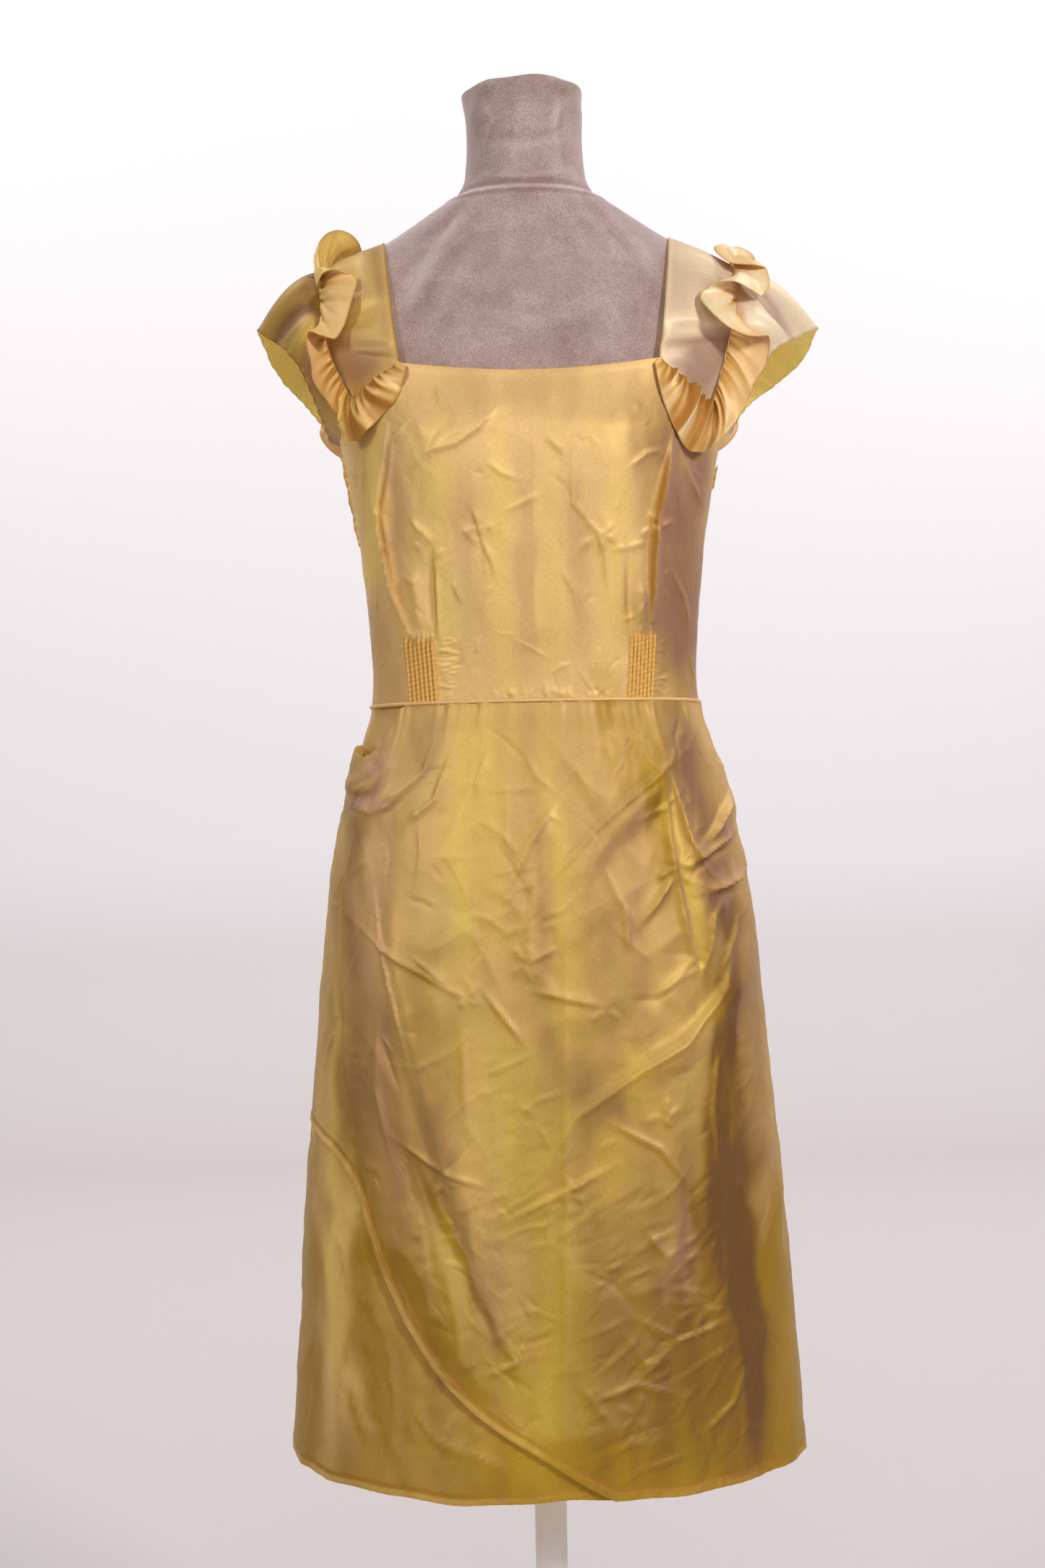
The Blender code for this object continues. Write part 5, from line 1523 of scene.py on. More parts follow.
def bodiceGrid(behind, turns, shares):
    top = np.full(turns.shape, 1220.0)
    for _ in range(6):
        top = topEdge(aroundBody(dressCurve, turns, top)[..., 0], behind)
    bottom = body["waistZ"] + body["waistGap"]
    follow = ramp((shares - 0.2) / 0.3)[:, None]
    rise = (bodice["rowTop"] - bottom) * (1 - follow) + (top[None, :] - bottom) * follow
    z = bottom + rise * shares[:, None]
    base = withBust(aroundBody(dressCurve, turns[None, :], z))
    return base, unit(base * np.array([1 / 1.6, 1, 0])), top


def shirringLift(x, z):
    # Ribs of puckers between rows of stitches, each fading out above at its own height
    shirring = bodice["shirring"]
    total = np.zeros(x.shape)
    for low, high in shirring["spans"]:
        lean = shirring["fan"] * (z - shirring["top"] + 22) / 40 * np.sign(low)
        share = (x - low - lean) / (high - low)
        place = shirring["ribs"] * share
        rib = np.abs(np.sin(math.pi * place)) ** 0.8
        pucker = 0.86 + 0.14 * np.cos(2 * math.pi * z / shirring["stitchGap"] + 5 * np.floor(place))
        inside = ramp((share + 0.02) / 0.05) * ramp((1.02 - share) / 0.05)
        end = shirring["top"] + 5 + 9 * np.sin(np.floor(place) * 2.3 + low) ** 2
        above = ramp((end - z) / 12) * (1 - 0.55 * ramp((z - shirring["top"]) / 3))
        pucker = np.where(z > shirring["top"], 1, pucker)
        total += shirring["raise"] * rib * pucker * inside * above
    return total


def makeBodiceFront(end):
    shirring = bodice["shirring"]
    bottom = body["waistZ"] + body["waistGap"]
    high = bodice["rowTop"] - bottom
    fine = np.arange(0, shirring["top"] + 14 - bottom, shirring["rowGap"]) / high
    coarse = np.linspace(fine[-1], 1, int((1 - fine[-1]) * high / bodice["rowGap"]))[1:]
    closer = (shirring["spans"], shirring["columnGap"], shirring["top"])
    turns = turnsAcross(-end, end, bodice["columnGap"], *closer)
    step = bodice["backingStep"]
    base, out, top = bodiceGrid(False, evened(turns, step), evened(np.concatenate([fine, coarse]), step))
    x, z = base[..., 0], base[..., 2]
    way, below = aroundWay(base), top[None, :] - z
    folds = creaseLift(x, z, bodice["folds"]) * ramp(below / 12)
    fine = creaseLift(x, z, list(bodice["creases"]) + starred(3, bodice["stars"]))
    fine = fine + creaseLift(way, z, strewn(bodice["small"]))
    fine = fine * ramp(below / 5) + crumpled(way, z, 300, bodice["crumple"]) * ramp(below / 12)
    fine += creaseLift(x, z, strewn(bodice["puckers"]))
    shirred = shirringLift(x, z)
    calm = 1 - 0.85 * (shirred > 0.05)
    lift = (folds + fine) * calm + shirred
    lift += turnedEdge(below, bodice["topHem"]) * (abs(x) < 97)
    ribs = shirred / shirring["raise"]
    inShirring = ramp(ribs * 4 + 0.3) * ramp((shirring["top"] + 6 - z) / 6) * (ribs > 0)
    # painted shade lines beside the folds, deeper, browner and more mauve
    lines = creaseLift(x, z, bodice["shadeLines"])
    shot = 0.08 + shotFrom(base, folds + fine, bodice["patches"], 21)
    shot = shot * (1 - inShirring) + (0.25 + 0.4 * ribs) * inShirring - 0.2 * lines
    tone = paintedShadeDownwards(z, bodice["tone"]) + patched(x, z, bodice["shades"], bodice["shadeSway"])
    tone = tone + paintedCreaseShading(fine + 0.6 * folds, base) * calm + lines
    # painted shade in the gaps between the ribs of the shirring, paler on the ribs
    tone = tone * (1 - inShirring) + (0.9 - 0.95 * ribs) * inShirring
    # browned in the shirring, along the painted shade lines and at the top edge, and by painted crease shade
    warm = 0.9 * inShirring + 1.6 * lines + 0.6 * ramp((1.6 - below) / 0.8)
    warm = np.clip(warm + 0.3 * np.abs(paintedCreaseShading(fine, base)), 0, 1)
    makeBackedSheet("bodiceFront", "bodice_front", base, out, lift, bodice, shot=shot, tone=tone, warm=warm)


def makeBodiceBack(end):
    step = bodice["backingStep"]
    turns = 180 + turnsAcross(-end, end, bodice["columnGap"] * 1.2)
    base, out, top = bodiceGrid(True, evened(turns, step), np.linspace(0, 1, 1 + step * 50))
    x, z = base[..., 0], base[..., 2]
    way, near, below = aroundWay(base), besideSeam(base), top[None, :] - z
    creased = creaseLift(x, z, bodice["backCreases"]) + creaseLift(way, z, strewn(bodice["backSmall"]))
    creased = creased * ramp(below / 6)
    creased += crumpled(way, z, 340, bodice["crumple"]) * ramp(below / 12)
    lift = creased + turnedEdge(below, bodice["topHem"]) * (abs(x) < 99)
    front, back = (patched(x, z, bodice[key], cloth["patchSway"]) for key in ("patches", "backPatches"))
    shot = 0.1 + shotFrom(base, -lift, bodice["backPatches"], 22) + 0.7 * near * (front - back)
    tone = paintedShadeDownwards(z, bodice["backDownwardShade"]) + near * patched(x, z, bodice["shades"], bodice["shadeSway"])
    tone = tone + paintedCreaseShading(creased, base)
    makeBackedSheet("bodiceBack", "bodice_back", base, out, lift, bodice, shot=shot, tone=tone)


makeBodiceFront(90 - body["sideSeamTurn"])
makeBodiceBack(90 - body["sideSeamTurn"])
print("bodice made")


# Waist piping

piping = {"columns": 420, "sides": 10, "radius": 1.35, "out": 0.5, "twists": 150, "tone": 0.05}


def makePiping():
    turns = 360 * np.arange(piping["columns"]) / piping["columns"]
    middle = aroundBody(dressCurve, turns, body["waistZ"])
    out = unit(middle * np.array([1, 1, 0]))
    angle = 2 * math.pi * np.arange(piping["sides"] + 1)[:, None] / piping["sides"]
    pucker = 0.14 * np.sin(np.radians(turns) * piping["twists"] + 2 * angle)
    radius = piping["radius"] + pucker
    way = out[None] * np.cos(angle)[..., None] + np.array([0, 0, 1]) * np.sin(angle)[..., None]
    grid = (middle + out * piping["out"])[None] + way * radius[..., None]
    piece = makeCloth("waistPiping", grid, clothLooks[:1], ring=True, wall=0, tone=piping["tone"])
    closeUp()
    dressUp(piece, "taffeta", "waist_piping")


makePiping()


# Skirt

skirt = {
    "hemSideZ": 436.0,
    "hemDip": 4.0,
    "wrapHem": {"wide": 5.0, "raise": 0.8},
    # size, height, lean, stretch
    "crumple": ((52, 1.9, 50, 1.9), (38, 1.5, -38, 2.1), (15, 0.6, 80, 1.6), (21, 0.7, 15, 2.2)),
    "hem": {"wide": 5.0, "raise": 0.5},
    "wall": 0.6,
    "backingStep": 3,
    # strewn creases, as on the bodice
    "small": (
        (32, 210, (-250, 250), (450, 980), (16, 84), (0.25, 0.7), (30, -40, 62, -66, 8, 80), (1.9, 3)),
        (38, 80, (-20, 160), (450, 660), (20, 90), (0.3, 0.75), (58, 66, 72), (1.9, 3)),
        (39, 40, (-110, 0), (470, 640), (14, 50), (0.3, 0.6), (-48, -40, 70), (1.8, 2.6)),
    ),
    "underSmall": ((34, 90, (-250, 0), (450, 640), (14, 60), (0.25, 0.7), (30, -40, 10), (2.1, 3.4)),),
    "backSmall": (
        (36, 280, (-250, 250), (450, 980), (16, 84), (0.25, 0.8), (30, -40, 62, -66, 8, 80), (2.1, 3.4)),
    ),
    # seed and count of the gathers at the waist
    "gathers": (31, 66),
    "backGathers": (35, 50),
    # height of the close rows at the top and their gap, gap of the rows below, height of the close rows
    # at the hem and their gap
    "wrapRows": (130, 1.7, 2.1, 12, 1.0),
    "underRows": (60, 3, 3, 10, 1.2),
    "backRows": (60, 2.1, 2.7, 10, 1.3),
    # painted shade, deeper towards the hem: tone at the waist, what is added below, the height it starts at
    # and the height it takes
    "tone": (0.46, 0.4, 950, 400),
    # more painted shade near the hem, in the same columns
    "hemDownwardShade": (0, 0.1, 640, 120),
    "wrapColumns": 268,
    "underColumns": 160,
    "backColumns": 232,
    "underInset": 3.3,
    "underSlack": 6.5,
    "cowlLift": {"turn": -76, "wide": 12, "tall": 16, "out": 5},
    # x, drop below the waist seam
    "cowl": ((-134, -24), (-130, -34), (-123, -38), (-116, -33), (-110, -18), (-105, -4), (-100, 0)),
    # x, z of the overskirt's free edge
    "freeEdge": (
        (-181, 686), (-158, 672), (-140, 652), (-131, 624), (-115, 580), (-92, 540), (-66, 508),
        (-36, 482), (-6, 462), (26, 442), (52, 428),
    ),
    "folds": (
        (5, 7, 0.6, ((-151, 940), (-138, 941), (-124, 946), (-112, 956))),
        (5, 7.5, 0.6, ((-150, 930), (-136, 922), (-120, 924), (-106, 934), (-92, 950))),
        (-2.5, 8, 0, ((-146, 915), (-124, 900), (-100, 912))),
        (5, 7, 0.75, ((150, 934), (141, 921), (132, 908), (124, 900), (117, 895))),
        (4, 6, -0.6, ((150, 900), (143, 897), (132, 893), (124, 889), (116, 884), (106, 879))),
        (6.5, 8, -0.8, ((158, 872), (147, 867), (136, 863), (120, 858))),
        (5, 11, 0.2, ((162, 850), (150, 792), (112, 752), (74, 730), (28, 700), (4, 664))),
        (5, 11, 0, ((113, 970), (80, 930), (50, 900), (24, 870), (8, 850))),
        (4.5, 11, 0, ((-112, 872), (-104, 812), (-80, 716))),
        (5.5, 13, 0.55, ((-104, 800), (-92, 752), (-78, 700), (-60, 640), (-45, 590), (-28, 540))),
        (-4, 14, 0, ((-112, 700), (-92, 640), (-74, 586))),
        (6, 14, 0, ((112, 960), (116, 880), (124, 832), (134, 784))),
        (-5.5, 18, 0, ((150, 700), (140, 620), (148, 540))),
        (-5, 14, 0, ((112, 700), (106, 620), (104, 520))), (5, 16, 0, ((30, 620), (40, 520), (44, 450))),
    ),
    "creases": (
        (1.8, 3.4, 0.4, ((16, 931), (-6, 898), (-20, 866))),
        (2.2, 3.6, 0.5, ((108, 975), (97, 954), (66, 929), (40, 906), (14, 877), (0, 861))),
        (1.6, 3.2, 0.4, ((-4, 865), (-12, 812))), (1.4, 3.2, 0.4, ((-12, 810), (13, 822))),
        (1.6, 3.4, 0.5, ((-11, 792), (47, 778))), (1.5, 3.4, 0.5, ((-44, 794), (-13, 752))),
        (2.6, 4, 0.5, ((147, 837), (135, 789), (99, 750), (67, 733), (24, 703), (1, 667))),
        (2, 3.6, 0.5, ((52, 669), (12, 649), (-30, 629))), (1.8, 3.2, 0.4, ((71, 834), (97, 868))),
        (1.4, 3, 0.3, ((61, 853), (63, 813))),
        (2, 3.8, -0.5, ((-125, 882), (-116, 826), (-106, 782), (-93, 723))),
        (-2, 5, 0, ((-92, 710), (-69, 646), (-49, 595), (-32, 542))),
        (1.5, 3.4, 0.4, ((-143, 844), (-111, 819), (-60, 787))),
        (1.3, 3, 0.4, ((-94, 817), (-67, 794))), (1.4, 3.4, 0.5, ((-110, 685), (-78, 666), (-38, 652))),
        (1.3, 4, 0, ((-57, 769), (-56, 700))), (0.8, 2.6, 0, ((18, 874), (14, 660), (9, 446))),
        (0.8, 2.6, 0, ((-23, 940), (-24, 892))), (2.6, 3.4, 0.6, ((-140, 936), (-120, 939))),
        (2.8, 3.6, 0.6, ((-138, 926), (-122, 920), (-109, 925), (-100, 934), (-92, 945))),
        (1.8, 4, 0.5, ((-138, 922), (-145, 867), (-147, 805), (-146, 701))),
        (2.2, 3.6, 0.5, ((97, 950), (103, 920), (107, 900), (113, 884), (120, 872), (128, 863))),
        (2.4, 3, 0.7, ((148, 931), (141, 921), (132, 908), (124, 900), (117, 895))),
        (2.4, 3, -0.6, ((150, 900), (143, 897), (132, 893), (124, 889), (116, 884), (104, 878))),
        (-1.8, 2.8, 0, ((146, 890), (132, 886), (120, 880), (110, 874))),
        (3, 3.4, -0.7, ((156, 871), (147, 866), (136, 862), (119, 857))),
        (-2, 3, 0, ((150, 858), (136, 855), (122, 851))),
        (1.5, 3, 0.4, ((99, 876), (88, 858), (78, 842))),
        (2, 3.6, 0.5, ((140, 861), (124, 841), (121, 815), (113, 789))),
        (1.8, 3.6, 0.5, ((148, 840), (132, 799))),
        (2, 4, -0.6, ((90, 961), (97, 882), (106, 833), (116, 785))),
        (1.5, 3.4, 0.5, ((-74, 975), (-84, 950), (-106, 930))),
        (1.4, 3.4, 0.5, ((-60, 972), (-76, 930), (-104, 908))),
        (1.3, 3.2, 0.5, ((-36, 968), (-48, 930))), (1.4, 3.2, 0.5, ((40, 700), (82, 676), (110, 640))),
        (1.5, 3.4, 0.5, ((60, 560), (92, 540), (128, 548))),
        (1.4, 3.2, 0.5, ((20, 500), (62, 512), (96, 500))),
        (1.4, 3.2, 0.5, ((-10, 560), (-24, 530), (-52, 520))),
        (1.6, 3.4, 0.5, ((104, 470), (132, 492), (150, 530))),
        (1.5, 3.4, 0.5, ((130, 760), (122, 700), (128, 650))),
        (1.4, 3.4, 0.5, ((-120, 780), (-122, 720), (-112, 668))),
        (1.3, 3.2, 0.4, ((70, 620), (88, 596))), (1.3, 3.2, 0.4, ((96, 460), (60, 452))),
    ),
    "stars": (
        (100, 878, 6, 20, 1.5), (-12, 811, 4, 16, 1.2), (-54, 786, 4, 18, 1.1), (46, 777, 3, 16, 1),
        (-70, 655, 4, 18, 1.1), (20, 648, 4, 20, 1.2), (86, 700, 4, 18, 1.1), (110, 560, 4, 22, 1.2),
        (60, 490, 4, 20, 1.1),
    ),
    # painted shade (above 0) and painted highlights, as in the patches
    "shades": (
        (-152, 560, 12, 110, 0.02, -0.6), (-129, 560, 7, 70, 0, 0.05), (-84, 553, 8, 56, -0.69, 0.45),
        (-74, 600, 9, 40, -0.4, -0.3), (-135, 680, 13, 110, -0.12, 0.14), (-84, 610, 4, 70, -0.3, 0.25),
        (-62, 604, 5, 74, -0.48, 0.35), (-99, 640, 5, 60, -0.25, -0.16), (-48, 680, 22, 90, -0.1, -0.14),
        (122, 920, 24, 60, -0.2, 0.2), (86, 905, 9, 60, -0.1, 0.34), (98, 900, 7, 50, -0.1, 0.1),
        (127, 700, 12, 110, 0.08, 0.46), (113, 632, 9, 34, 0.2, 0.1), (128, 598, 9, 40, -0.3, 0.3),
        (146, 545, 8, 70, 0, 0.3), (106, 520, 40, 70, -0.1, 0.16), (40, 448, 80, 26, 0, 0.42),
        (178, 560, 10, 70, 0, 0.35), (153, 592, 8, 40, 0, 0.25), (137, 735, 10, 60, 0, 0.38),
        (68, 978, 20, 60, -0.2, 0.32), (46, 1010, 10, 24, 0, 0.35), (112, 835, 14, 60, -0.1, 0.22),
        (-168, 500, 9, 60, 0, -0.4), (-86, 785, 12, 40, 0, 0.25), (-120, 870, 9, 95, 0, -0.5),
        (-163, 672, 7, 60, 0, -0.3), (97, 599, 14, 30, 0, -0.3), (-34, 579, 20, 40, 0, -0.25),
        (-68, 739, 12, 40, 0, 0.2), (160, 700, 12, 120, -0.05, 0.06), (166, 650, 9, 46, 0, -0.25),
        (153, 540, 14, 120, -0.14, 0.5), (30, 830, 70, 200, 0, 0.12), (100, 950, 16, 40, -0.1, 0.1),
        (173, 530, 5, 70, 0, 0.3), (139, 842, 16, 14, 0, 0.4), (-140, 880, 10, 60, 0, 0.2),
    ),
    "underCreases": (
        (4, 12, 0, ((-150, 560), (-152, 450))), (-4, 12, 0, ((-128, 560), (-126, 445))),
        (3, 14, 0, ((-92, 520), (-84, 440))), (1.8, 3.8, 0.5, ((-140, 557), (-150, 494))),
        (1.7, 3.8, 0.5, ((-144, 512), (-134, 460))),
        (1.4, 3.6, 0.5, ((-118, 548), (-112, 500), (-116, 460))),
        (1.4, 3.6, 0.5, ((-162, 620), (-150, 600), (-144, 560))),
        (1.3, 3.6, 0.5, ((-100, 500), (-80, 476), (-50, 462))),
        (1.2, 3.4, 0.5, ((-60, 470), (-30, 452))), (1.4, 3.6, 0.5, ((-128, 974), (-122, 958))),
    ),
    "backCreases": (
        (-4, 16, 0, ((-110, 820), (-128, 620), (-142, 440))),
        (4, 18, 0, ((-70, 780), (-84, 600), (-96, 440))),
        (-4, 16, 0, ((-20, 800), (-24, 620), (-30, 440))), (4, 18, 0, ((24, 820), (32, 620), (36, 440))),
        (-4, 16, 0, ((72, 780), (84, 600), (96, 440))), (4, 16, 0, ((116, 800), (130, 620), (146, 440))),
        (1.8, 3.8, 0.5, ((140, 900), (100, 860), (70, 790))),
        (1.8, 3.8, -0.5, ((-140, 910), (-108, 870), (-92, 800))),
        (1.6, 3.6, 0.5, ((-60, 900), (-30, 850), (-24, 800))),
        (1.6, 3.6, 0.5, ((40, 760), (60, 720), (100, 700))),
        (1.6, 3.6, 0.5, ((-120, 700), (-84, 680), (-50, 690))),
        (1.5, 3.6, 0.5, ((20, 940), (10, 890), (24, 850))),
        (1.6, 3.6, 0.5, ((-40, 600), (-12, 570), (30, 566))),
        (1.6, 3.6, 0.5, ((110, 600), (90, 560), (94, 500))),
        (1.5, 3.6, 0.5, ((-100, 560), (-112, 510), (-100, 470))),
        (0.8, 2.6, 0, ((0, 990), (1, 700), (0, 446))),
    ),
    "backStars": (
        (70, 800, 4, 20, 1.2), (-60, 760, 4, 20, 1.2), (30, 640, 4, 22, 1.2), (-90, 600, 4, 22, 1.2),
        (100, 520, 4, 22, 1.2), (-20, 500, 4, 20, 1.1),
    ),
    "patches": (
        (-43, 904, 28, 95, 0, 0.55), (17, 851, 11, 120, -0.1, 0.35), (2, 860, 6, 70, 0, -0.25),
        (-34, 703, 26, 80, 0, 0.55), (-73, 587, 16, 45, -0.2, 0.45), (5, 559, 15, 130, 0, 0.4),
        (-28, 489, 30, 50, 0, 0.45), (-157, 679, 5, 130, 0, 0.6), (-147, 580, 10, 90, 0.03, 0.6),
        (103, 866, 4.5, 90, -0.166, 0.6), (122, 920, 18, 70, -0.2, -0.6), (69, 723, 10, 35, 0, 0.5),
        (40, 659, 12, 25, 0, 0.4), (62, 850, 26, 100, 0, -0.28), (25, 731, 18, 45, -0.6, -0.4),
        (70, 551, 50, 100, 0, -0.26), (118, 560, 38, 130, 0, -0.28), (152, 545, 14, 120, -0.14, -0.2),
        (124, 855, 12, 34, -0.1, -0.45), (98, 952, 16, 40, -0.1, -0.12), (112, 840, 15, 60, -0.1, -0.3),
        (128, 700, 11, 110, 0.1, -0.55), (158, 700, 20, 220, 0, -0.32), (149, 560, 10, 90, 0, -0.4),
        (-80, 969, 14, 30, 0.3, -0.4), (-129, 938, 20, 25, 0, -0.4), (-125, 808, 20, 120, 0, -0.4),
        (-97, 613, 26, 110, -0.2, -0.32), (-64, 642, 8, 100, -0.3, -0.5),
    ),
    "backPatches": (
        (-120, 700, 22, 200, 0, -0.4), (-80, 760, 14, 170, 0, 0.55), (-40, 680, 18, 180, 0, -0.35),
        (0, 740, 14, 180, 0, 0.5), (44, 660, 20, 190, 0, -0.35), (84, 720, 12, 180, 0, 0.55),
        (130, 680, 20, 200, 0, -0.4),
    ),
}
freeEdgeCurve, cowlCurve = Curve(skirt["freeEdge"]), Curve(skirt["cowl"])


def hemZ(turn):
    ripple = 0.7 * np.sin(np.radians(turn) * 9 + 1) + 0.5 * np.sin(np.radians(turn) * 23)
    return skirt["hemSideZ"] - skirt["hemDip"] * np.cos(np.radians(turn)) ** 2 + ripple


def wrapBottom(turn):
    z = np.full(np.shape(turn), 560.0)
    for _ in range(24):
        z = 0.5 * z + 0.5 * freeEdgeCurve.at(aroundBody(dressCurve, turn, z)[..., 0])[0]
    return np.maximum(z, hemZ(turn))


def seamZ():
    return body["waistZ"] - body["waistGap"]


def wrapTop(turn):
    return seamZ() + cowlCurve.at(aroundBody(dressCurve, turn, 980)[..., 0])[0]


def underInset(turn, z):
    covered = z - wrapBottom(turn)
    hidden = ramp(covered / 60) * ramp((body["waistZ"] - 8 - z) / 45) * ramp((88 - np.abs(turn)) / 14)
    shown = ramp((-covered - 3) / 26)
    return skirt["underInset"] * (1 - shown) + skirt["underSlack"] * hidden


def waistGathers(turn, z, seed, count):
    # Small pleats of uneven depth and length below the waist seam
    pick = random.Random(seed)
    places = sorted(pick.uniform(-86, 86) for _ in range(count))
    nearTurn = np.where(np.abs(turn) > 90, 180 - np.abs(turn), np.abs(turn)) * np.sign(turn)
    total = np.zeros(np.broadcast(turn, z).shape)
    for place in places:
        depth, fade, wide = pick.uniform(0.5, 1.3), pick.uniform(9, 34), pick.uniform(0.8, 1.5)
        total += depth * bell(nearTurn - place, wide) * np.exp(-(seamZ() - z) / fade)
    return total


def rowHeights(top, bottom, near, nearGap, middleGap, edge, edgeGap):
    # Rows of points from the upper edge down: close together near it and at the hem
    first = np.arange(0, near, nearGap)
    last = np.arange(edge, -1e-6, -edgeGap)
    last = np.append(last[:-1], 0) if last[-1] > 1e-6 else last
    longest = float(np.max(top - bottom)) - near - edge
    middle = np.linspace(0, 1, int(longest / middleGap) + 1)[:-1]
    count = len(first) + len(middle) + len(last) - 1
    middle = np.linspace(0, 1, len(middle) + 1 + (-count) % skirt["backingStep"])[:-1]
    rows = [top - a for a in first]
    rows += [(top - near) * (1 - t) + (bottom + edge) * t for t in middle]
    rows += [bottom + e for e in last]
    return np.array(rows)


def hangingWaves(turn, z, seed):
    # Broad soft waves that grow towards the hem
    pick = random.Random(seed)
    total = np.zeros(np.broadcast(turn, z).shape)
    for count in (5, 8, 13):
        phase, drift = pick.uniform(0, 6), pick.uniform(-0.004, 0.004)
        total += np.sin(np.radians(turn) * count + phase + drift * z) * 9 / count
    return total * ramp((960 - z) / 460)


def makeSkirtPanel(name, node, turns, z, creases, small, patches, seed, lift, tilt, toHem, hem):
    turn = turns[None, :]
    base = aroundBody(dressCurve, turn, z)
    out = unit(base * np.array([1 / 1.4, 1, 0]))
    x = base[..., 0]
    way, near = aroundWay(base), besideSeam(base)
    crisp = [crease for crease in creases if crease[1] < creasing["crispBelow"]]
    soft = [crease for crease in creases if crease[1] >= creasing["crispBelow"]]
    fine = creaseLift(x, z, crisp) + creaseLift(way, z, small)
    fine += crumpled(way, z, 100 + seed, skirt["crumple"]) * ramp((seamZ() - z) / 25)
    # painted shade and highlight on the thin creases
    creased = paintedCreaseShading(fine, base)
    relief = fine + creaseLift(x, z, soft)
    relief = relief + hangingWaves(turn, z, seed) * ramp((88 - np.abs(turn)) / 20)
    total = relief + lift + turnedEdge(toHem, hem)
    total = total + 0.3 * np.sin(x * 0.7 + 3 * np.sin(x * 0.05)) * ramp((14 - toHem) / 10)
    shot = shotFrom(base, tilt * relief, patches, seed)
    tone = paintedShadeDownwards(z, skirt["tone"]) + paintedShadeDownwards(z, skirt["hemDownwardShade"]) + creased
    # painted shade: deeper low down on the wearer's left and at the wearer's right edge
    tone = tone + 0.2 * ramp((x - 80) / 80) * ramp((760 - z) / 260) + 0.1 * ramp((-x - 110) / 50)
    # painted shade and painted highlights from the shades table
    shades = patched(x, z, skirt["shades"], cloth["patchSway"])
    if node == "skirt_back":
        # what the front has beside the side seams goes on round them
        front, back = (patched(x, z, rows, cloth["patchSway"]) for rows in (skirt["patches"], patches))
        shot = shot + 0.7 * near * (front - back)
        shades = near * shades
    band = ramp((hem["wide"] - toHem) / 1.2)
    stitches = bell(toHem - hem["wide"] - 1.2, 1.3)
    shot = shot + 0.2 * band * (0.6 + 0.4 * np.sin(x * 1.9) * np.sin(z * 1.3))
    tone = tone + shades - 0.2 * band + 0.45 * stitches
    # browned at the stitches and the hem's edge, and by painted crease shade
    warm = 0.6 * stitches + 0.5 * ramp((1.4 - toHem) / 0.7) + 0.3 * np.abs(creased)
    how = {"flip": True, "shot": shot, "tone": tone, "warm": np.clip(warm, 0, 1)}
    makeBackedSheet(name, node, base, out, total, skirt, **how)


def edgeDistance(turns, z, bottom):
    # How far each point lies from the lower edge, square to the edge
    across = np.gradient(aroundBody(dressCurve, turns, bottom), axis=0)
    run = np.hypot(across[:, 0], across[:, 1])
    slope = np.gradient(bottom) / np.maximum(run, 0.1)
    return (z - bottom[None, :]) / np.sqrt(1 + slope**2)[None, :]


def makeSkirt():
    ends = 90 - body["sideSeamTurn"]
    turns = np.linspace(-ends, ends, skirt["wrapColumns"])
    top, bottom = wrapTop(turns), wrapBottom(turns)
    z = rowHeights(top, bottom, *skirt["wrapRows"])
    cowl = skirt["cowlLift"]
    beside, below = (turns - cowl["turn"]) / cowl["wide"], (top[None, :] - z) / cowl["tall"]
    lift = cowl["out"] * np.exp(-(beside**2)[None, :] - below**2) * ramp((turns + 90) / 8)[None, :]
    lift = lift + waistGathers(turns[None, :], z, *skirt["gathers"])
    creases = list(skirt["folds"]) + list(skirt["creases"]) + starred(5, skirt["stars"])
    made = (skirt["patches"], 33, lift, 1, edgeDistance(turns, z, bottom), skirt["wrapHem"])
    makeSkirtPanel("skirtWrap", "skirt_wrap", turns, z, creases, strewn(skirt["small"]), *made)
    print("overskirt made")
    turns = np.linspace(-ends, ends, skirt["underColumns"])
    bottom = hemZ(turns)
    z = rowHeights(np.full(turns.shape, seamZ()), bottom, *skirt["underRows"])
    inset = underInset(turns[None, :], z)
    inOpening = ramp((z - wrapTop(turns)[None, :] + 2) / 6) * ramp((-64 - turns) / 8)[None, :]
    inset = inset * (1 - inOpening)
    creases, small = skirt["underCreases"], strewn(skirt["underSmall"])
    made = (skirt["patches"], 33, -inset, 1, edgeDistance(turns, z, bottom), skirt["hem"])
    makeSkirtPanel("skirtUnder", "skirt_under", turns, z, creases, small, *made)
    turns = np.linspace(90 + body["sideSeamTurn"], 270 - body["sideSeamTurn"], skirt["backColumns"])
    turns = np.where(turns > 180, turns - 360, turns)
    bottom = hemZ(turns)
    z = rowHeights(np.full(turns.shape, seamZ()), bottom, *skirt["backRows"])
    lift = waistGathers(turns[None, :], z, *skirt["backGathers"])
    creases = list(skirt["backCreases"]) + starred(6, skirt["backStars"])
    made = (skirt["backPatches"], 37, lift, -1, edgeDistance(turns, z, bottom), skirt["hem"])
    makeSkirtPanel("skirtBack", "skirt_back", turns, z, creases, strewn(skirt["backSmall"]), *made)
    print("underskirt and back made")


makeSkirt()


# Side flaps

sideFlaps = {
    "wall": 0.5,
    "out": 1.6,
    "tone": 0.3,
    "turnWide": 2.2,  # millimetres to a degree of turn, at the side
    # name: node, top z, bottom z, first turn, last turn
    "pieces": {
        "placketRight": ("placket_right", 1198, 1128, -96, -83),
        "tabLeft": ("tab_left", 1185, 1168, 86, 97),
    },
}


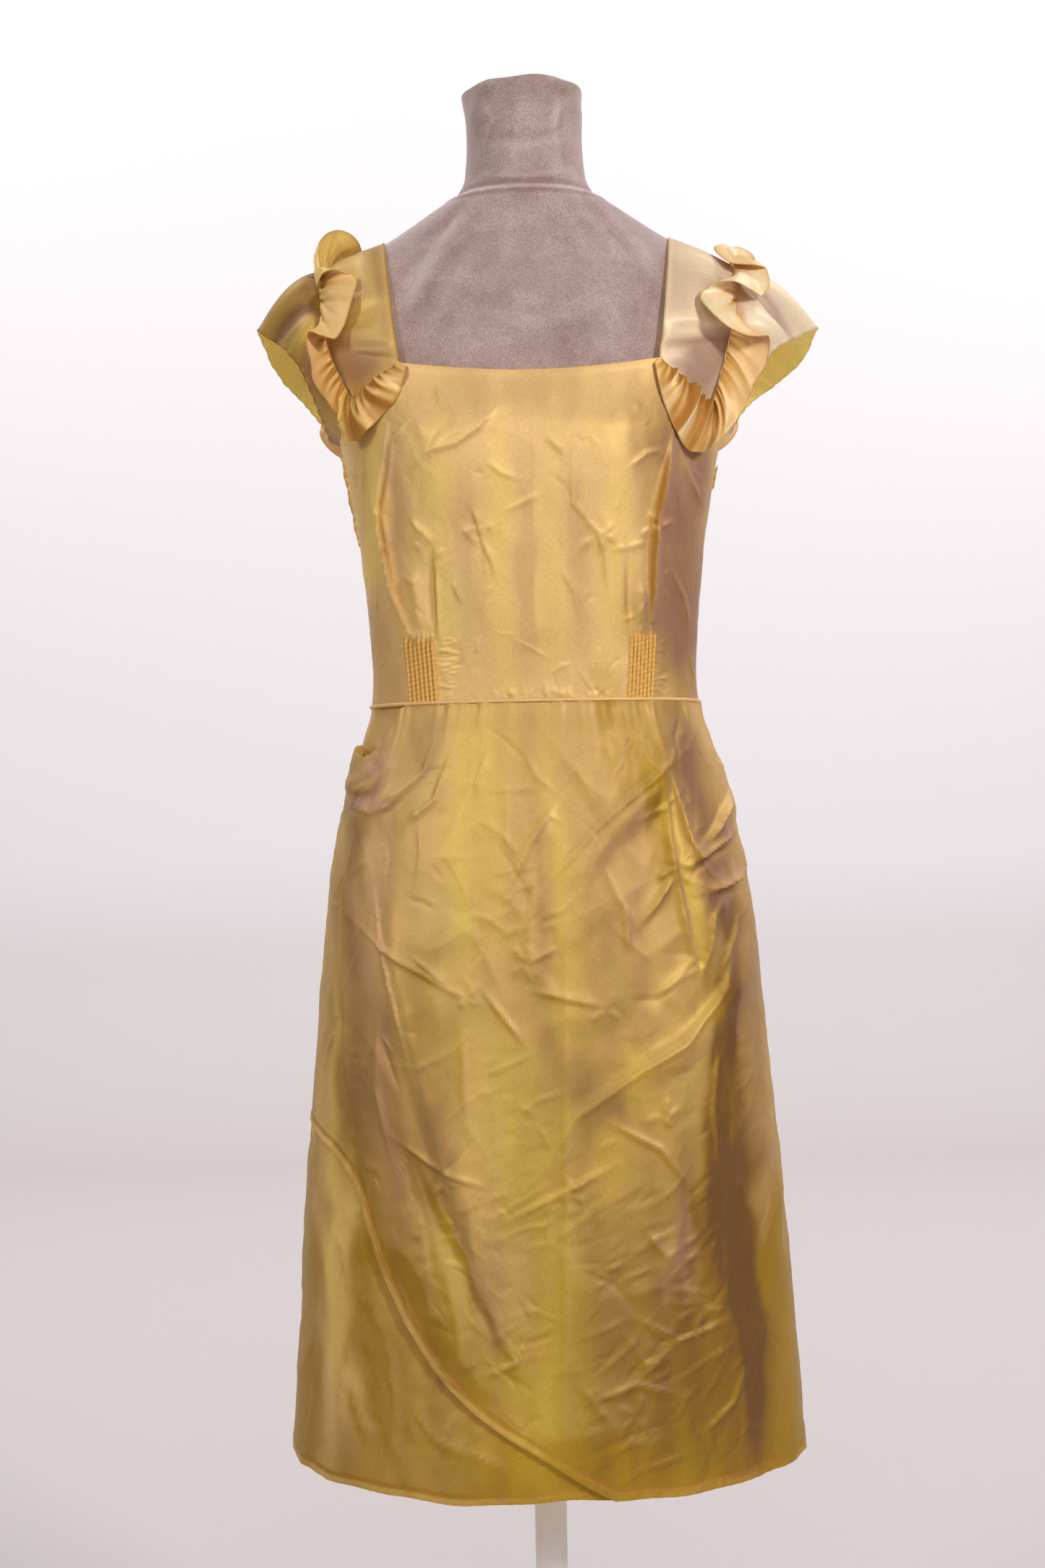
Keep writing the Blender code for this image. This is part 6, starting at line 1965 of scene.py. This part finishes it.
def makeSideFlaps():
    for name, (node, high, low, first, last) in sideFlaps["pieces"].items():
        z = np.arange(low, high + 0.1, 1.5)[:, None]
        turn = np.linspace(first, last, 18)[None, :]
        base = withBust(aroundBody(dressCurve, turn, z))
        out = unit(base * np.array([1, 1.2, 0]))
        edge = np.minimum(np.abs(turn - first), np.abs(turn - last)) * sideFlaps["turnWide"]
        lift = sideFlaps["out"] - 0.4 * bell(edge - 2.4, 0.8)
        lift = lift + 0.5 * np.sin(z * 0.32 + 1) * ramp((turn - first) / 6) + 0.25 * np.sin(z * 0.9)
        shot = 0.4 + 0.3 * np.sin(z * 0.1 + turn * 0.2)
        how = {"wall": sideFlaps["wall"], "shot": shot, "tone": sideFlaps["tone"]}
        makeSheet(name, node, "taffeta", base + out * lift[..., None], clothLooks, **how)


makeSideFlaps()
print("side flaps made")


# Flat sizes of the cloth: name, width, length, cut area, how it is held and what it rests on
cuts = (
    ("yokeLeft", 0.078, 0.33, 0.0172, "draped", "formVelvet"),
    ("yokeRight", 0.078, 0.33, 0.0172, "draped", "formVelvet"),
    ("sleeveLeft", 0.085, 0.50, 0.0200, "hung", "yokeLeft"),
    ("sleeveRight", 0.078, 0.50, 0.0180, "hung", "yokeRight"),
    ("ruffleLeft", 0.034, 0.66, None, "gathered", "yokeLeft"),
    ("ruffleRight", 0.034, 0.66, None, "gathered", "yokeRight"),
    ("bodiceFront", 0.46, 0.26, 0.0990, "draped", "formVelvet"),
    ("bodiceBack", 0.42, 0.27, 0.0925, "draped", "formVelvet"),
    ("skirtWrap", 0.60, 0.60, 0.2550, "draped", "skirtUnder"),
    ("skirtUnder", 0.58, 0.58, 0.2780, "hung", "waistPiping"),
    ("skirtBack", 0.60, 0.58, 0.2900, "hung", "waistPiping"),
    ("placketRight", 0.028, 0.070, None, "hung", "bodiceFront"),
    ("tabLeft", 0.024, 0.018, None, "hung", "bodiceFront"),
)


def declareCloth():
    for name, width, length, area, held, rest in cuts:
        faces = flatCloth[name].data.polygons
        print("cloth", name, round(sum(face.area for face in faces) / 2, 4), "faces", len(faces))


declareCloth()
